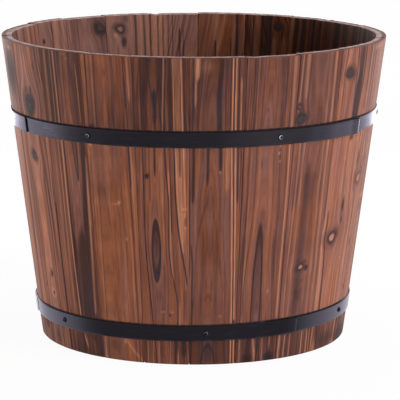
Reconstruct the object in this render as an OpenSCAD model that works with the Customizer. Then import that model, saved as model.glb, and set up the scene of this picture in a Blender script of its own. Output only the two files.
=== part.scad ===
// Wooden barrel planter: a tapered tub of burnt softwood staves, held by two flat steel hoops.
// Millimetres. +Z is up, the origin is on the ground in the middle of the foot, and the front
// faces -Y. A turn is an angle about +Z, counted from the front towards +X.

/* [Overall] */
// Outer diameter at the rim
rim_d = 451; // [420:1:500]
// Outer diameter at the foot
base_d = 360; // [330:1:400]
// Height of the longest stave
planter_h = 355; // [330:5:420]

/* [Staves] */
// Number of staves round the planter
stave_n = 22; // [18:1:26]
// Thickness of a stave, square to its face
stave_t = 12; // [10:0.5:15]
// Gap left between two neighbouring staves
seam_gap = 0.2; // [0.1:0.05:0.5]
// Turn of the first seam from the front
seam_turn = -1.3; // [-8:0.1:8]
// Width of the easing planed along each long outer edge of a stave
edge_ease = 0.8; // [0.4:0.1:1.5]
// One step of the unevenness of the stave tops
top_step = 0.5; // [0:0.1:1]

/* [Floor] */
// Height of the floor's underside above the ground
floor_z = 30; // [25:1:60]
// Thickness of the floor boards
floor_t = 12; // [9:0.5:15]
// Depth of the groove in the staves that carries the floor
croze_depth = 3; // [2:0.5:4]
// Room above and round the floor boards in their groove
croze_clear = 0.3; // [0.2:0.05:0.5]
// Number of floor boards
board_n = 4; // [3:1:6]
// Gap between two floor boards
board_gap = 0.5; // [0.2:0.1:2]

/* [Drainage] */
// Diameter of a drain hole
drain_d = 12; // [8:1:16]
// Distance between the two drain holes in a floor board
drain_pitch = 110; // [80:5:120]

/* [Battens] */
// Width of a batten under the floor
batten_w = 36; // [25:1:45]
// Thickness of a batten
batten_t = 15; // [12:1:18]
// Distance between the middles of the two battens
batten_pitch = 190; // [180:5:200]
// Room between the batten ends and the staves
batten_end_room = 3; // [1:0.5:10]

/* [Hoops] */
// Width of the steel strap
strap_w = 18; // [12:1:30]
// Thickness of the steel strap
strap_t = 1.2; // [0.8:0.1:2]
// Room between the inner end of a strap and the staves
strap_clear = 0.4; // [0.2:0.05:0.8]
// Length over which one strap laps the next
lap_length = 40; // [25:5:80]
// Room between two straps where they lap
lap_clear = 0.4; // [0.3:0.05:0.8]
// Height of the middle of the upper hoop
upper_hoop_z = 262; // [180:1:300]
// Tilt of the upper hoop, higher on the +X side
upper_hoop_tilt = 0.3; // [-1:0.1:1]
// Height of the middle of the lower hoop
lower_hoop_z = 37.5; // [20:0.5:80]
// Tilt of the lower hoop, higher on the +X side
lower_hoop_tilt = 0.7; // [-1:0.1:1]

/* [Hoop screws] */
// Diameter of a screw's shank
screw_d = 3; // [2.5:0.1:4]
// Diameter of the round head
head_d = 7; // [6:0.1:9]
// Height of the round head
head_h = 2; // [1.5:0.1:3]
// Length of a screw below its head
screw_l = 10; // [8:0.5:11]
// Width of the slots of the cross in the head
cross_w = 0.9; // [0.6:0.1:1.2]
// Room round a screw in its hole
screw_clear = 0.1; // [0.05:0.05:0.3]

/* [Batten screws] */
// Diameter of a batten screw's shank
batten_screw_d = 4; // [3:0.5:5]
// Diameter of its countersunk head
batten_head_d = 8; // [7:0.5:10]
// Length of a batten screw
batten_screw_l = 22; // [19:0.5:24]

/* [Hidden] */
$fn = 96;
// A hair that joins two cuts, and how far a cut runs past the face it opens
eps = 0.01;
past = 1;

rim_r = rim_d / 2;
base_r = base_d / 2;
stave_turn = 360 / stave_n;
half_turn = stave_turn / 2;
reach = 2 * rim_r;

// How far each stave stops short of the longest one, in steps of top_step, round from the front
TOP_STEPS = [2, 3, 1, 0, 1, 0, 1, 2, 1, 0, 0, 2, 1, 2, 0, 2, 1, 2, 1, 1, 2, 2];

// A hoop is its height, its tilt and its straps. Each strap is the turn of its outer end, the
// turns of its two screws, and how far above the hoop's own height it was fitted.
UPPER_HOOP = [upper_hoop_z, upper_hoop_tilt,
    [[60, [-33, 26.5], 0], [180, [87, 148], 0.8], [298, [208, 267], 0.3]]];
LOWER_HOOP = [lower_hoop_z, lower_hoop_tilt,
    [[39, [-52.5, 4.5], 0], [159, [66, 127], 0.5], [279, [186, 246], 0.3]]];
HOOPS = [UPPER_HOOP, LOWER_HOOP];
STRAP_NUMBERS = [0:len(UPPER_HOOP[2]) - 1];

// The staves are rounded to the planter's own circle, so their two faces are parts of two cones
lean = atan((rim_r - base_r) / planter_h);
stave_t_level = stave_t / cos(lean);
function outer_r(z) = base_r + (rim_r - base_r) * z / planter_h;
function inner_r(z) = outer_r(z) - stave_t_level;

function stave_h(i) = planter_h - top_step * TOP_STEPS[i % len(TOP_STEPS)];

// Radius of the floor groove, and of the floor that sits in it
croze_r = inner_r(floor_z) + croze_depth;
floor_r = croze_r - croze_clear;
board_pitch = 2 * floor_r / board_n;
function board_x(j) = (j - (board_n - 1) / 2) * board_pitch;

// The battens reach as far as the staves' insides let them at their outer lower corners
batten_half_l = sqrt(pow(inner_r(floor_z - batten_t) - batten_end_room, 2)
    - pow(batten_pitch / 2 + batten_w / 2, 2));

// A batten screw stands in the middle of the stretch where its board crosses the batten
function crossing_low(j) = max(board_x(j) - board_pitch / 2, -batten_half_l);
function crossing_high(j) = min(board_x(j) + board_pitch / 2, batten_half_l);
function batten_screw_x(j) = (crossing_low(j) + crossing_high(j)) / 2;

// Strap thickness and clearances measured level, because the straps lean with the staves
strap_t_level = strap_t / cos(lean);
strap_clear_level = strap_clear / cos(lean);
lap_clear_level = lap_clear / cos(lean);

// A strap runs from under the outer end of the strap before it to its own outer end
function lap_angle(hoop) = lap_length / outer_r(hoop[0]) * 180 / PI;
function strap_end(hoop, k) = hoop[2][k][0];
function strap_start(hoop, k) =
    (k > 0 ? strap_end(hoop, k - 1) : strap_end(hoop, len(hoop[2]) - 1) - 360) - lap_angle(hoop);
function strap_span(hoop, k) = strap_end(hoop, k) - strap_start(hoop, k);

// A strap is an arc about a centre shifted towards its outer end, so that it starts close to the
// staves and ends one strap thickness further out, over the start of the next strap
function strap_shift(hoop, k) =
    (strap_t_level + lap_clear_level) / (1 - cos(strap_span(hoop, k)));
function strap_inner_room(hoop, k) =
    strap_clear_level - strap_shift(hoop, k) * cos(strap_span(hoop, k));

function two_digits(k) = k < 10 ? str("0", k) : str(k);
STAVES = [for (i = [1:stave_n]) str("stave_", two_digits(i))];
BOARDS = [for (j = [1:board_n]) str("floor_board_", j)];
UPPER_STRAPS = [for (k = STRAP_NUMBERS) str("upper_strap_", k + 1)];
LOWER_STRAPS = [for (k = STRAP_NUMBERS) str("lower_strap_", k + 1)];

// Places what faces +X at a turn from the front
module at_turn(turn) {
    rotate([0, 0, turn - 90]) children();
}

// ---- Staves ----

// One stave's share of the leaning wall, longer than the stave at both ends
module wall_share() {
    low = -past;
    high = planter_h + past;
    rotate([0, 0, -half_turn]) rotate_extrude(angle = stave_turn)
        polygon([[inner_r(low), low], [outer_r(low), low],
            [outer_r(high), high], [inner_r(high), high]]);
}

// The room of one stave between two radial seams, up to its own height
module seam_wedge(h) {
    half_w = reach * tan(half_turn);
    translate([seam_gap / 2 / sin(half_turn), 0, 0]) linear_extrude(height = h)
        polygon([[0, 0], [reach, -half_w], [reach, half_w]]);
}

// A square bar along a seam's outer corner, which eases the edges on both sides of it
module easing_bar(side) {
    bar = edge_ease * sqrt(2);
    rotate([0, 0, side * half_turn]) translate([base_r, 0, 0]) rotate([0, lean, 0])
        rotate([0, 0, 45]) cube([bar, bar, 3 * planter_h], center = true);
}

// Turn of a stave's middle, and whether a screw at some turn can reach that stave
function stave_middle(i) = seam_turn + (i + 0.5) * stave_turn;
function turn_apart(a, b) = abs((a - b + 540) % 360 - 180);
function reaches(turn, i) = turn_apart(turn, stave_middle(i)) < stave_turn;

// The pilot holes of the hoop screws that can reach a stave
module pilot_holes(i) {
    for (hoop = HOOPS, k = STRAP_NUMBERS, turn = hoop[2][k][1])
        if (reaches(turn, i)) on_strap(hoop, k, turn) rotate([0, -90, 0])
            cylinder(d = screw_d + 2 * screw_clear, h = screw_l + screw_clear);
}

module stave(i) {
    color([0.45, 0.28, 0.2]) difference() {
        at_turn(stave_middle(i)) difference() {
            intersection() {
                wall_share();
                seam_wedge(stave_h(i));
            }
            easing_bar(-1);
            easing_bar(1);
        }
        translate([0, 0, floor_z]) cylinder(r = croze_r, h = floor_t + croze_clear);
        pilot_holes(i);
    }
}

// ---- Floor ----

// A countersunk screw driven up from z = 0, or the hole for it when grown by room
module countersunk(room) {
    sink_h = (batten_head_d - batten_screw_d) / 2;
    cylinder(d = batten_screw_d + 2 * room, h = batten_screw_l + room);
    cylinder(d1 = batten_head_d + 2 * room, d2 = batten_screw_d + 2 * room, h = sink_h);
    if (room > 0) translate([0, 0, -past]) cylinder(d = batten_head_d + 2 * room, h = past + eps);
}

module at_batten_screws() {
    for (j = [0:board_n - 1], side = [-1, 1])
        translate([batten_screw_x(j), side * batten_pitch / 2, floor_z - batten_t]) children();
}

module floor_board(j) {
    color([0.5, 0.33, 0.24]) difference() {
        intersection() {
            translate([0, 0, floor_z]) cylinder(r = floor_r, h = floor_t);
            translate([board_x(j) - board_pitch / 2 + board_gap / 2, -reach, 0])
                cube([board_pitch - board_gap, 2 * reach, planter_h]);
        }
        if (abs(board_x(j)) < board_pitch)
            for (side = [-1, 1])
                translate([board_x(j), side * drain_pitch / 2, floor_z - past])
                    cylinder(d = drain_d, h = floor_t + 2 * past);
        at_batten_screws() countersunk(screw_clear);
    }
}

module batten(side) {
    color([0.55, 0.38, 0.27]) difference() {
        translate([-batten_half_l, side * batten_pitch / 2 - batten_w / 2, floor_z - batten_t])
            cube([2 * batten_half_l, batten_w, batten_t]);
        at_batten_screws() countersunk(screw_clear);
    }
}

module batten_screws() {
    color([0.7, 0.7, 0.68]) at_batten_screws() countersunk(0);
}

// ---- Hoops ----

// Moves a strap's own centre to its place
module at_strap_centre(hoop, k) {
    shift = strap_shift(hoop, k);
    end = strap_end(hoop, k);
    translate([shift * sin(end), -shift * cos(end), 0]) children();
}

// Places what faces +X on a strap's outer surface, at the middle of its width
module on_strap(hoop, k, turn) {
    z = hoop[0] + hoop[2][k][2] + outer_r(hoop[0]) * sin(turn) * tan(hoop[1]);
    outer_r = outer_r(z) + strap_inner_room(hoop, k) + strap_t_level;
    at_strap_centre(hoop, k) at_turn(turn) translate([outer_r, 0, z])
        rotate([0, lean, 0]) children();
}

// The section of a strap, leaning with the staves and longer than the strap is wide
module strap_section(hoop, k) {
    low = hoop[0] - 2 * strap_w;
    high = hoop[0] + 2 * strap_w;
    inner = strap_inner_room(hoop, k);
    outer = inner + strap_t_level;
    polygon([[outer_r(low) + inner, low], [outer_r(low) + outer, low],
        [outer_r(high) + outer, high], [outer_r(high) + inner, high]]);
}

module strap(hoop, k) {
    color([0.1, 0.1, 0.11]) difference() {
        intersection() {
            at_strap_centre(hoop, k) at_turn(strap_start(hoop, k))
                rotate_extrude(angle = strap_span(hoop, k)) strap_section(hoop, k);
            translate([0, 0, hoop[0] + hoop[2][k][2]]) rotate([0, -hoop[1], 0])
                translate([-reach, -reach, -strap_w / 2]) cube([2 * reach, 2 * reach, strap_w]);
        }
        for (turn = hoop[2][k][1])
            on_strap(hoop, k, turn) rotate([0, 90, 0])
                cylinder(d = screw_d + 2 * screw_clear, h = 2 * screw_l, center = true);
    }
}

// A round-headed screw: domed head with a cross, and a plain shank
module hoop_screw() {
    dome_r = (pow(head_d / 2, 2) + pow(head_h, 2)) / (2 * head_h);
    rotate([0, 90, 0]) difference() {
        union() {
            intersection() {
                translate([0, 0, head_h - dome_r]) sphere(r = dome_r);
                cylinder(d = head_d, h = head_h);
            }
            translate([0, 0, -screw_l]) cylinder(d = screw_d, h = screw_l + head_h / 2);
        }
        for (a = [0, 90])
            rotate([0, 0, a]) translate([-head_d / 4, -cross_w / 2, head_h / 2])
                cube([head_d / 2, cross_w, head_h]);
    }
}

module hoop_screws(hoop) {
    color([0.13, 0.13, 0.14])
        for (k = STRAP_NUMBERS, turn = hoop[2][k][1]) on_strap(hoop, k, turn) hoop_screw();
}

for (i = [0:stave_n - 1]) stave(i);
for (j = [0:board_n - 1]) floor_board(j);
batten(-1);  // front_batten
batten(1);  // back_batten
batten_screws();
for (k = STRAP_NUMBERS) strap(UPPER_HOOP, k);
hoop_screws(UPPER_HOOP);  // upper_hoop_screws
for (k = STRAP_NUMBERS) strap(LOWER_HOOP, k);
hoop_screws(LOWER_HOOP);  // lower_hoop_screws
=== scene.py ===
# %% [markdown]
# # A wooden planter in two steel hoops
#
# The planter is a tapered tub. Twenty-two straight boards, called staves, stand in a ring and
# lean outwards. Two flat black hoops, each made of three lapped straps, hold them together.
# The wood was charred with a flame and then brushed: the soft pale part of each year's ring burns
# and wears away, and the hard dark part stays as a ridge, so the grain shows as streaks.
#
# Sizes below are in millimetres, because that is how such a thing is drawn. They are turned into
# Blender's metres only when a mesh is made. A "turn" is an angle about the upright axis, counted
# from the front towards the right.

import math

import bmesh
import bpy
import numpy as np
from mathutils import Matrix, Vector


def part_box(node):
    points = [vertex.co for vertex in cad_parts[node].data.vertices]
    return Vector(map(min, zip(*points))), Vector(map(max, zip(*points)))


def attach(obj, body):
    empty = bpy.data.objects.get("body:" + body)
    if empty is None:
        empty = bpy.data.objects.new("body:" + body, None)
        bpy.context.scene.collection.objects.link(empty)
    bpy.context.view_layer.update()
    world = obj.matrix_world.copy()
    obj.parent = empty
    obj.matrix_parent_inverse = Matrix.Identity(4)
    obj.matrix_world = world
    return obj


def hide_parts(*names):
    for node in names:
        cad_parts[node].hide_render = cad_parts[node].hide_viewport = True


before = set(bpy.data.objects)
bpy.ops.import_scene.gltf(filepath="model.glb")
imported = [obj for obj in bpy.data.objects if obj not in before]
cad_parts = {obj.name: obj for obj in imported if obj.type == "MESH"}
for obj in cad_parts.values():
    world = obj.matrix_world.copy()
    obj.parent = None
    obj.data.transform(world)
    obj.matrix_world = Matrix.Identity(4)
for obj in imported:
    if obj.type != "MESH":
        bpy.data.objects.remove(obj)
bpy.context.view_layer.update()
MM = 0.001

# %% [markdown]
# ## The camera
#
# The camera stands almost three metres in front, some thirty centimetres above the rim, and looks
# down by about eleven degrees. A long lens from far away keeps the rim's ellipse flat, as in a
# catalogue. It could be aimed by eye, but the outlines of the rim, foot and hoops say exactly
# where it stood, so its place, lens, turn and roll were fitted to them.

# %% Camera
PICTURE = 400
LENS_PIXELS = 2357.2
CAMERA_PLACE = (0.0, -2.7565, 0.6789)
CAMERA_PITCH = 0.1878
CAMERA_TURN = 0.0029
CAMERA_ROLL = 0.0041

camera_data = bpy.data.cameras.new("camera")
camera_data.sensor_width = 36
camera_data.lens = LENS_PIXELS * camera_data.sensor_width / PICTURE
camera = bpy.data.objects.new("camera", camera_data)
bpy.context.scene.collection.objects.link(camera)
camera.matrix_world = (
    Matrix.Translation(CAMERA_PLACE)
    @ Matrix.Rotation(-CAMERA_TURN, 4, "Z")
    @ Matrix.Rotation(math.pi / 2 - CAMERA_PITCH, 4, "X")
    @ Matrix.Rotation(CAMERA_ROLL, 4, "Z")
)
bpy.context.scene.camera = camera
print("lens", round(camera_data.lens, 1), "mm")

# %% [markdown]
# ## Helpers for shader nodes
#
# Materials here are node trees. They could be drawn by hand in the shader editor, but written
# down they can be read, compared and made again. A few short helpers keep each recipe readable:
# they make the sums, mixes and noises that every recipe uses, from numbers or other nodes' sockets.

# %% Node helpers
bpy.context.scene.view_settings.view_transform = "Standard"


def feed(tree, socket, value):
    """Gives a socket its value: a link if value is another node's socket, else a constant."""
    if isinstance(value, bpy.types.NodeSocket):
        tree.links.new(value, socket)
    else:
        socket.default_value = value


def maths(tree, operation, *values, clamp=False):
    """One Math node. Its values are numbers or sockets."""
    made = tree.nodes.new("ShaderNodeMath")
    made.operation = operation
    made.use_clamp = clamp
    for socket, value in zip(made.inputs, values):
        feed(tree, socket, value)
    return made.outputs[0]


def times(tree, first, second):
    """The product of two values."""
    return maths(tree, "MULTIPLY", first, second)


def weighed_sum(tree, *pairs, start=0.0):
    """start, plus each value times its share."""
    for value, share in pairs:
        start = maths(tree, "MULTIPLY_ADD", value, share, start)
    return start


def step_between(tree, value, low, high, to_low=0.0, to_high=1.0):
    """A smooth step: to_low where value is under low, to_high where it is over high."""
    made = tree.nodes.new("ShaderNodeMapRange")
    made.interpolation_type = "SMOOTHSTEP"
    names = ("Value", "From Min", "From Max", "To Min", "To Max")
    for name, number in zip(names, (value, low, high, to_low, to_high)):
        feed(tree, made.inputs[name], number)
    return made.outputs[0]


def blend(tree, share, first, second, way="MIX"):
    """Mixes two colours: first where share is 0, second where it is 1."""
    made = tree.nodes.new("ShaderNodeMix")
    made.data_type = "RGBA"
    made.blend_type = way
    feed(tree, made.inputs["Factor"], share)
    for socket, value in ((made.inputs[6], first), (made.inputs[7], second)):
        feed(tree, socket, value)
    return made.outputs[2]


# %% Noise and colours
def stretched_noise(tree, across, along, depth=0.0, detail=2.0, rough=0.5):
    """Noise from 0 to 1 on a plane of its own: across and along are already divided by the
    size that its blotches should have in each direction."""
    point = tree.nodes.new("ShaderNodeCombineXYZ")
    for socket, value in zip(point.inputs, (across, along, depth)):
        feed(tree, socket, value)
    made = tree.nodes.new("ShaderNodeTexNoise")
    made.inputs["Scale"].default_value = 1.0
    made.inputs["Detail"].default_value = detail
    made.inputs["Roughness"].default_value = rough
    tree.links.new(point.outputs[0], made.inputs["Vector"])
    return made.outputs["Fac"]


def written(red, green, blue):
    """The linear colour of a written (screen) colour from 0 to 255."""
    level = np.array([red, green, blue]) / 255
    linear = np.where(level <= 0.04045, level / 12.92, ((level + 0.055) / 1.055) ** 2.4)
    return (*linear.tolist(), 1.0)


print("written grey 128 is", round(written(128, 128, 128)[0], 3), "as light")

# %% Groups, coordinates and attributes
def node_group(name, inputs, outputs):
    """A new shader node group. inputs is {name: default number}, outputs {name: socket type}."""
    made = bpy.data.node_groups.new(name, "ShaderNodeTree")
    for key, default in inputs.items():
        socket = made.interface.new_socket(key, in_out="INPUT", socket_type="NodeSocketFloat")
        socket.default_value = default
    for key, kind in outputs.items():
        made.interface.new_socket(key, in_out="OUTPUT", socket_type=kind)
    return made, made.nodes.new("NodeGroupInput").outputs, made.nodes.new("NodeGroupOutput").inputs


def place_group(tree, group, **values):
    """Places a group in a tree and gives its inputs."""
    made = tree.nodes.new("ShaderNodeGroup")
    made.node_tree = group
    for name, value in values.items():
        feed(tree, made.inputs[name], value)
    return made.outputs


def parts_of(tree, vector):
    """The three parts of a vector."""
    parts = tree.nodes.new("ShaderNodeSeparateXYZ")
    tree.links.new(vector, parts.inputs[0])
    return parts.outputs


def attribute(tree, name):
    """The three parts of a vector attribute that a mesh carries."""
    read = tree.nodes.new("ShaderNodeAttribute")
    read.attribute_name = name
    return parts_of(tree, read.outputs["Vector"])


def object_place(tree):
    """Where a point lies in its object, in metres."""
    return tree.nodes.new("ShaderNodeTexCoord").outputs["Object"]


def specks(tree, scale):
    """Fine noise from 0 to 1 in all directions alike: scale is its number of specks a metre."""
    made = tree.nodes.new("ShaderNodeTexNoise")
    made.inputs["Scale"].default_value = scale
    tree.links.new(object_place(tree), made.inputs["Vector"])
    return made.outputs["Fac"]


# %% Materials and shaders
def new_material(name):
    """A material, its tree, and the inputs of the Principled shader in it."""
    made = bpy.data.materials.new(name)
    made.use_nodes = True
    return made, made.node_tree, made.node_tree.nodes["Principled BSDF"].inputs


def bump(tree, height, normal_socket, strength):
    """A Bump node from a height in millimetres to a shader's Normal."""
    made = tree.nodes.new("ShaderNodeBump")
    made.inputs["Strength"].default_value = strength
    made.inputs["Distance"].default_value = MM
    feed(tree, made.inputs["Height"], height)
    tree.links.new(made.outputs[0], normal_socket)


def choose_shader(tree, share, first, second, surface):
    """Leads a mix of two shaders to a surface: first where share is 0, second where it is 1."""
    made = tree.nodes.new("ShaderNodeMixShader")
    for socket, value in zip(made.inputs, (share, first, second)):
        tree.links.new(value, socket)
    tree.links.new(made.outputs[0], surface)


# %% [markdown]
# ## Floor, backdrop and light
#
# The planter stands on white, so the floor runs into a white distance. Strong lamps could wash a
# floor out to white, but they would wash the wood out too. So a ray that comes straight from the
# camera, or off something glossy, sees the world and the floor as plain white, and every other
# ray sees only what the lamps give. The floor keeps a share of real shading, which carries the
# planter's shadow. Its glow rises towards the back, until floor and backdrop are the same white.
# Under the planter it hardly glows, so the drain holes and the gaps of its floor look dark.

# %% Floor
FLOOR_HALF = 6.0
FLOOR_DROP = 0.0003
FLOOR_BOUNCE = (0.6, 0.6, 0.6, 1)
FLOOR_SHADED = (0.06, 0.06, 0.06, 1)
GLOW_NEAR, GLOW_FAR, GLOW_COVERED = 0.94, 0.985, 0.06
GLOW_FROM, GLOW_TO = -0.6, 2.2
COVERED_FROM, COVERED_TO = 0.160, 0.172


def seen_straight(tree):
    """1 for rays from the camera, from a glossy surface or through glass, and 0 for others."""
    path = tree.nodes.new("ShaderNodeLightPath").outputs
    seen = maths(tree, "MAXIMUM", path["Is Camera Ray"], path["Is Glossy Ray"])
    return maths(tree, "MAXIMUM", seen, path["Is Transmission Ray"])


floor_paint, tree, shader = new_material("studio_floor")
shader["Base Color"].default_value = FLOOR_BOUNCE
shader["Roughness"].default_value = 1.0
shader["Specular IOR Level"].default_value = 0.0
glow = tree.nodes.new("ShaderNodeEmission")
matt = tree.nodes.new("ShaderNodeBsdfDiffuse")
matt.inputs["Color"].default_value = FLOOR_SHADED
x, y, _ = parts_of(tree, object_place(tree))
behind = step_between(tree, y, GLOW_FROM, GLOW_TO, GLOW_NEAR, GLOW_FAR)
from_axis = maths(tree, "SQRT", weighed_sum(tree, (x, x), (y, y)))
open_floor = step_between(tree, from_axis, COVERED_FROM, COVERED_TO, GLOW_COVERED, 1.0)
feed(tree, glow.inputs["Strength"], times(tree, behind, open_floor))
both = tree.nodes.new("ShaderNodeAddShader")
tree.links.new(glow.outputs[0], both.inputs[0])
tree.links.new(matt.outputs[0], both.inputs[1])
plain = tree.nodes["Principled BSDF"].outputs[0]
surface = tree.nodes["Material Output"].inputs["Surface"]
choose_shader(tree, seen_straight(tree), plain, both.outputs[0], surface)

floor_mesh = bpy.data.meshes.new("studio_floor")
corners = np.array([[-1, -1], [1, -1], [1, 1], [-1, 1]]) * FLOOR_HALF
floor_mesh.from_pydata([(x, y, -FLOOR_DROP) for x, y in corners], [], [(0, 1, 2, 3)])
floor_mesh.materials.append(floor_paint)
floor = bpy.data.objects.new("studio_floor", floor_mesh)
bpy.context.scene.collection.objects.link(floor)
print("floor", 2 * FLOOR_HALF, "m square")

# %% World
WORLD_FILL = 0.06
FILL_COLOUR = (1.0, 0.97, 0.95, 1)

world = bpy.data.worlds.new("studio")
world.use_nodes = True
bpy.context.scene.world = world
tree = world.node_tree
white = tree.nodes["Background"]
white.inputs["Color"].default_value = (1, 1, 1, 1)
dim = tree.nodes.new("ShaderNodeBackground")
dim.inputs["Color"].default_value = FILL_COLOUR
dim.inputs["Strength"].default_value = WORLD_FILL
surface = tree.nodes["World Output"].inputs["Surface"]
choose_shader(tree, seen_straight(tree), dim.outputs[0], white.outputs[0], surface)
print("world fill", WORLD_FILL)

# %% [markdown]
# Six soft boxes light the planter, because a small lamp would draw hard shadows and hard spots
# on the hoops. The large one on the right is the main light. It stands high enough to reach down
# into the tub and light the left and back inside walls, while the right inside wall stays dark.
# The one on the left is smaller, brighter and low, so the rim keeps it out of the tub. A wide one
# near the camera is far off and opens the front a little. A low one close on the right gives the
# right half of the upper hoop its grey sheen. Two stand on the floor behind, out of view on both
# sides, and help the hoops to their bright ends.

# %% Soft boxes
SOFT_BOXES = {
    # name: (turn in degrees, distance, height of its middle, width, height, brightness)
    "right_box": (58, 1.9, 1.2, 1.3, 1.5, 6.2),
    "left_box": (-80, 1.5, 0.10, 1.4, 0.45, 9.0),
    "front_box": (-4, 3.2, 0.26, 2.4, 0.5, 8.0),
    "right_low": (52, 0.72, 0.10, 0.95, 0.17, 2.4),
    "right_strip": (143, 1.15, 0.36, 0.9, 0.7, 2.1),
    "left_strip": (-143, 1.15, 0.36, 0.9, 0.7, 3.0),
}
AIMED_AT = 0.18
for name, (turn, distance, height, width, tall, brightness) in SOFT_BOXES.items():
    lamp = bpy.data.lights.new(name, "AREA")
    lamp.shape = "RECTANGLE"
    lamp.size = width
    lamp.size_y = tall
    lamp.energy = brightness * math.pi * width * tall
    lamp_object = bpy.data.objects.new(name, lamp)
    angle = math.radians(turn)
    place = Matrix.Translation((distance * math.sin(angle), -distance * math.cos(angle), height))
    aim = (place.translation - Vector((0, 0, AIMED_AT))).to_track_quat("Z", "Y")
    lamp_object.matrix_world = place @ aim.to_matrix().to_4x4()
    bpy.context.scene.collection.objects.link(lamp_object)
print(len(SOFT_BOXES), "soft boxes")

# %% [markdown]
# ## From a grid of points to a mesh
#
# Every new piece is a surface worked out on a grid: rows run along the piece and columns run
# round it. The points come as one numpy array, so a shape is a formula and not a list of corners.
# The last column joins the first, so each grid is a tube. Points that fall together at a pole or
# at the middle of an end face are merged, which closes the piece like a real solid.

# %% Grid meshes
WELD = 0.00001


def grid_faces(rows, columns):
    """Corner numbers of the squares between neighbouring rows and columns of a tube's grid."""
    here = np.arange(rows - 1)[:, None] * columns
    column = np.arange(columns)[None, :]
    following = (column + 1) % columns
    above = here + columns
    square = [here + column, here + following, above + following, above + column]
    return np.stack(np.broadcast_arrays(*square), -1).reshape(-1, 4)


def signed_volume(points, faces):
    """Six times the volume that the faces wrap: positive when they point outwards."""
    a, b, c, d = (points[faces[:, k]] for k in range(4))
    first = np.einsum("ij,ij->i", a, np.cross(b, c))
    second = np.einsum("ij,ij->i", a, np.cross(c, d))
    return (first + second).sum()


def grid_piece(name, parts, material, node_names):
    """One object from several grids. Each part is (points in mm, {attribute: vectors}).
    It rides on the body and stands for the CAD nodes that are named."""
    points, faces, carried, count = [], [], {}, 0
    for grid, extra in parts:
        flat = grid.reshape(-1, 3) * MM
        squares = grid_faces(*grid.shape[:2])
        if signed_volume(flat - flat.mean(0), squares) < 0:
            squares = squares[:, ::-1]
        points.append(flat)
        faces.append(squares + count)
        count += len(flat)
        for key, values in extra.items():
            carried.setdefault(key, []).append(values.reshape(-1, 3))
    mesh = bpy.data.meshes.new(name)
    mesh.from_pydata(np.concatenate(points), [], np.concatenate(faces).tolist())
    for key, values in carried.items():
        layer = mesh.attributes.new(key, "FLOAT_VECTOR", "POINT")
        layer.data.foreach_set("vector", np.concatenate(values).astype(np.float32).ravel())
    body = bmesh.new()
    body.from_mesh(mesh)
    bmesh.ops.remove_doubles(body, verts=body.verts, dist=WELD)
    bmesh.ops.dissolve_degenerate(body, edges=body.edges, dist=WELD / 10)
    body.to_mesh(mesh)
    body.free()
    mesh.polygons.foreach_set("use_smooth", np.ones(len(mesh.polygons), bool))
    mesh.materials.append(material)
    piece = bpy.data.objects.new(name, mesh)
    bpy.context.scene.collection.objects.link(piece)
    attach(piece, "root")
    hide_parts(*node_names)
    return piece


# %% [markdown]
# ## The wood's colour
#
# A board is a slice through a trunk, so one number says most of what its surface shows: how far
# a point is from the tree's middle. Here that number is the "ring" value in millimetres. A wave
# texture would give even stripes. Noise that is short across the rings and very long along the
# board gives uneven ones, as grown, and they bend wherever the ring value bends, as round a knot.
#
# The recipe is used for the staves, the floor and the battens, so it is a node group. It works
# from broad to fine: bands of tone, dark lines where a year's ring ends, then fibres. The hue
# wanders too, between a warm orange brown and a smoky mauve. Marks that the staves carry as
# attributes come last: bright ridges, then char.

# %% Wood group
YEAR = 3.6
WOOD_DARK = written(68, 41, 35)
WOOD_MIDDLE = written(121, 76, 61)
WOOD_PALE = written(160, 106, 84)
WOOD_RIDGE = written(192, 130, 100)
MAUVE = (0.82, 0.93, 1.22, 1)
ORANGE = (1.13, 0.975, 0.74, 1)
CHAR_COOL = written(46, 40, 48)
CHAR_WARM = written(50, 31, 26)
KNOT_DARK = written(42, 36, 40)
KNOT_ASH = written(66, 55, 58)
KNOT_PALE = written(178, 120, 102)


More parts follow.
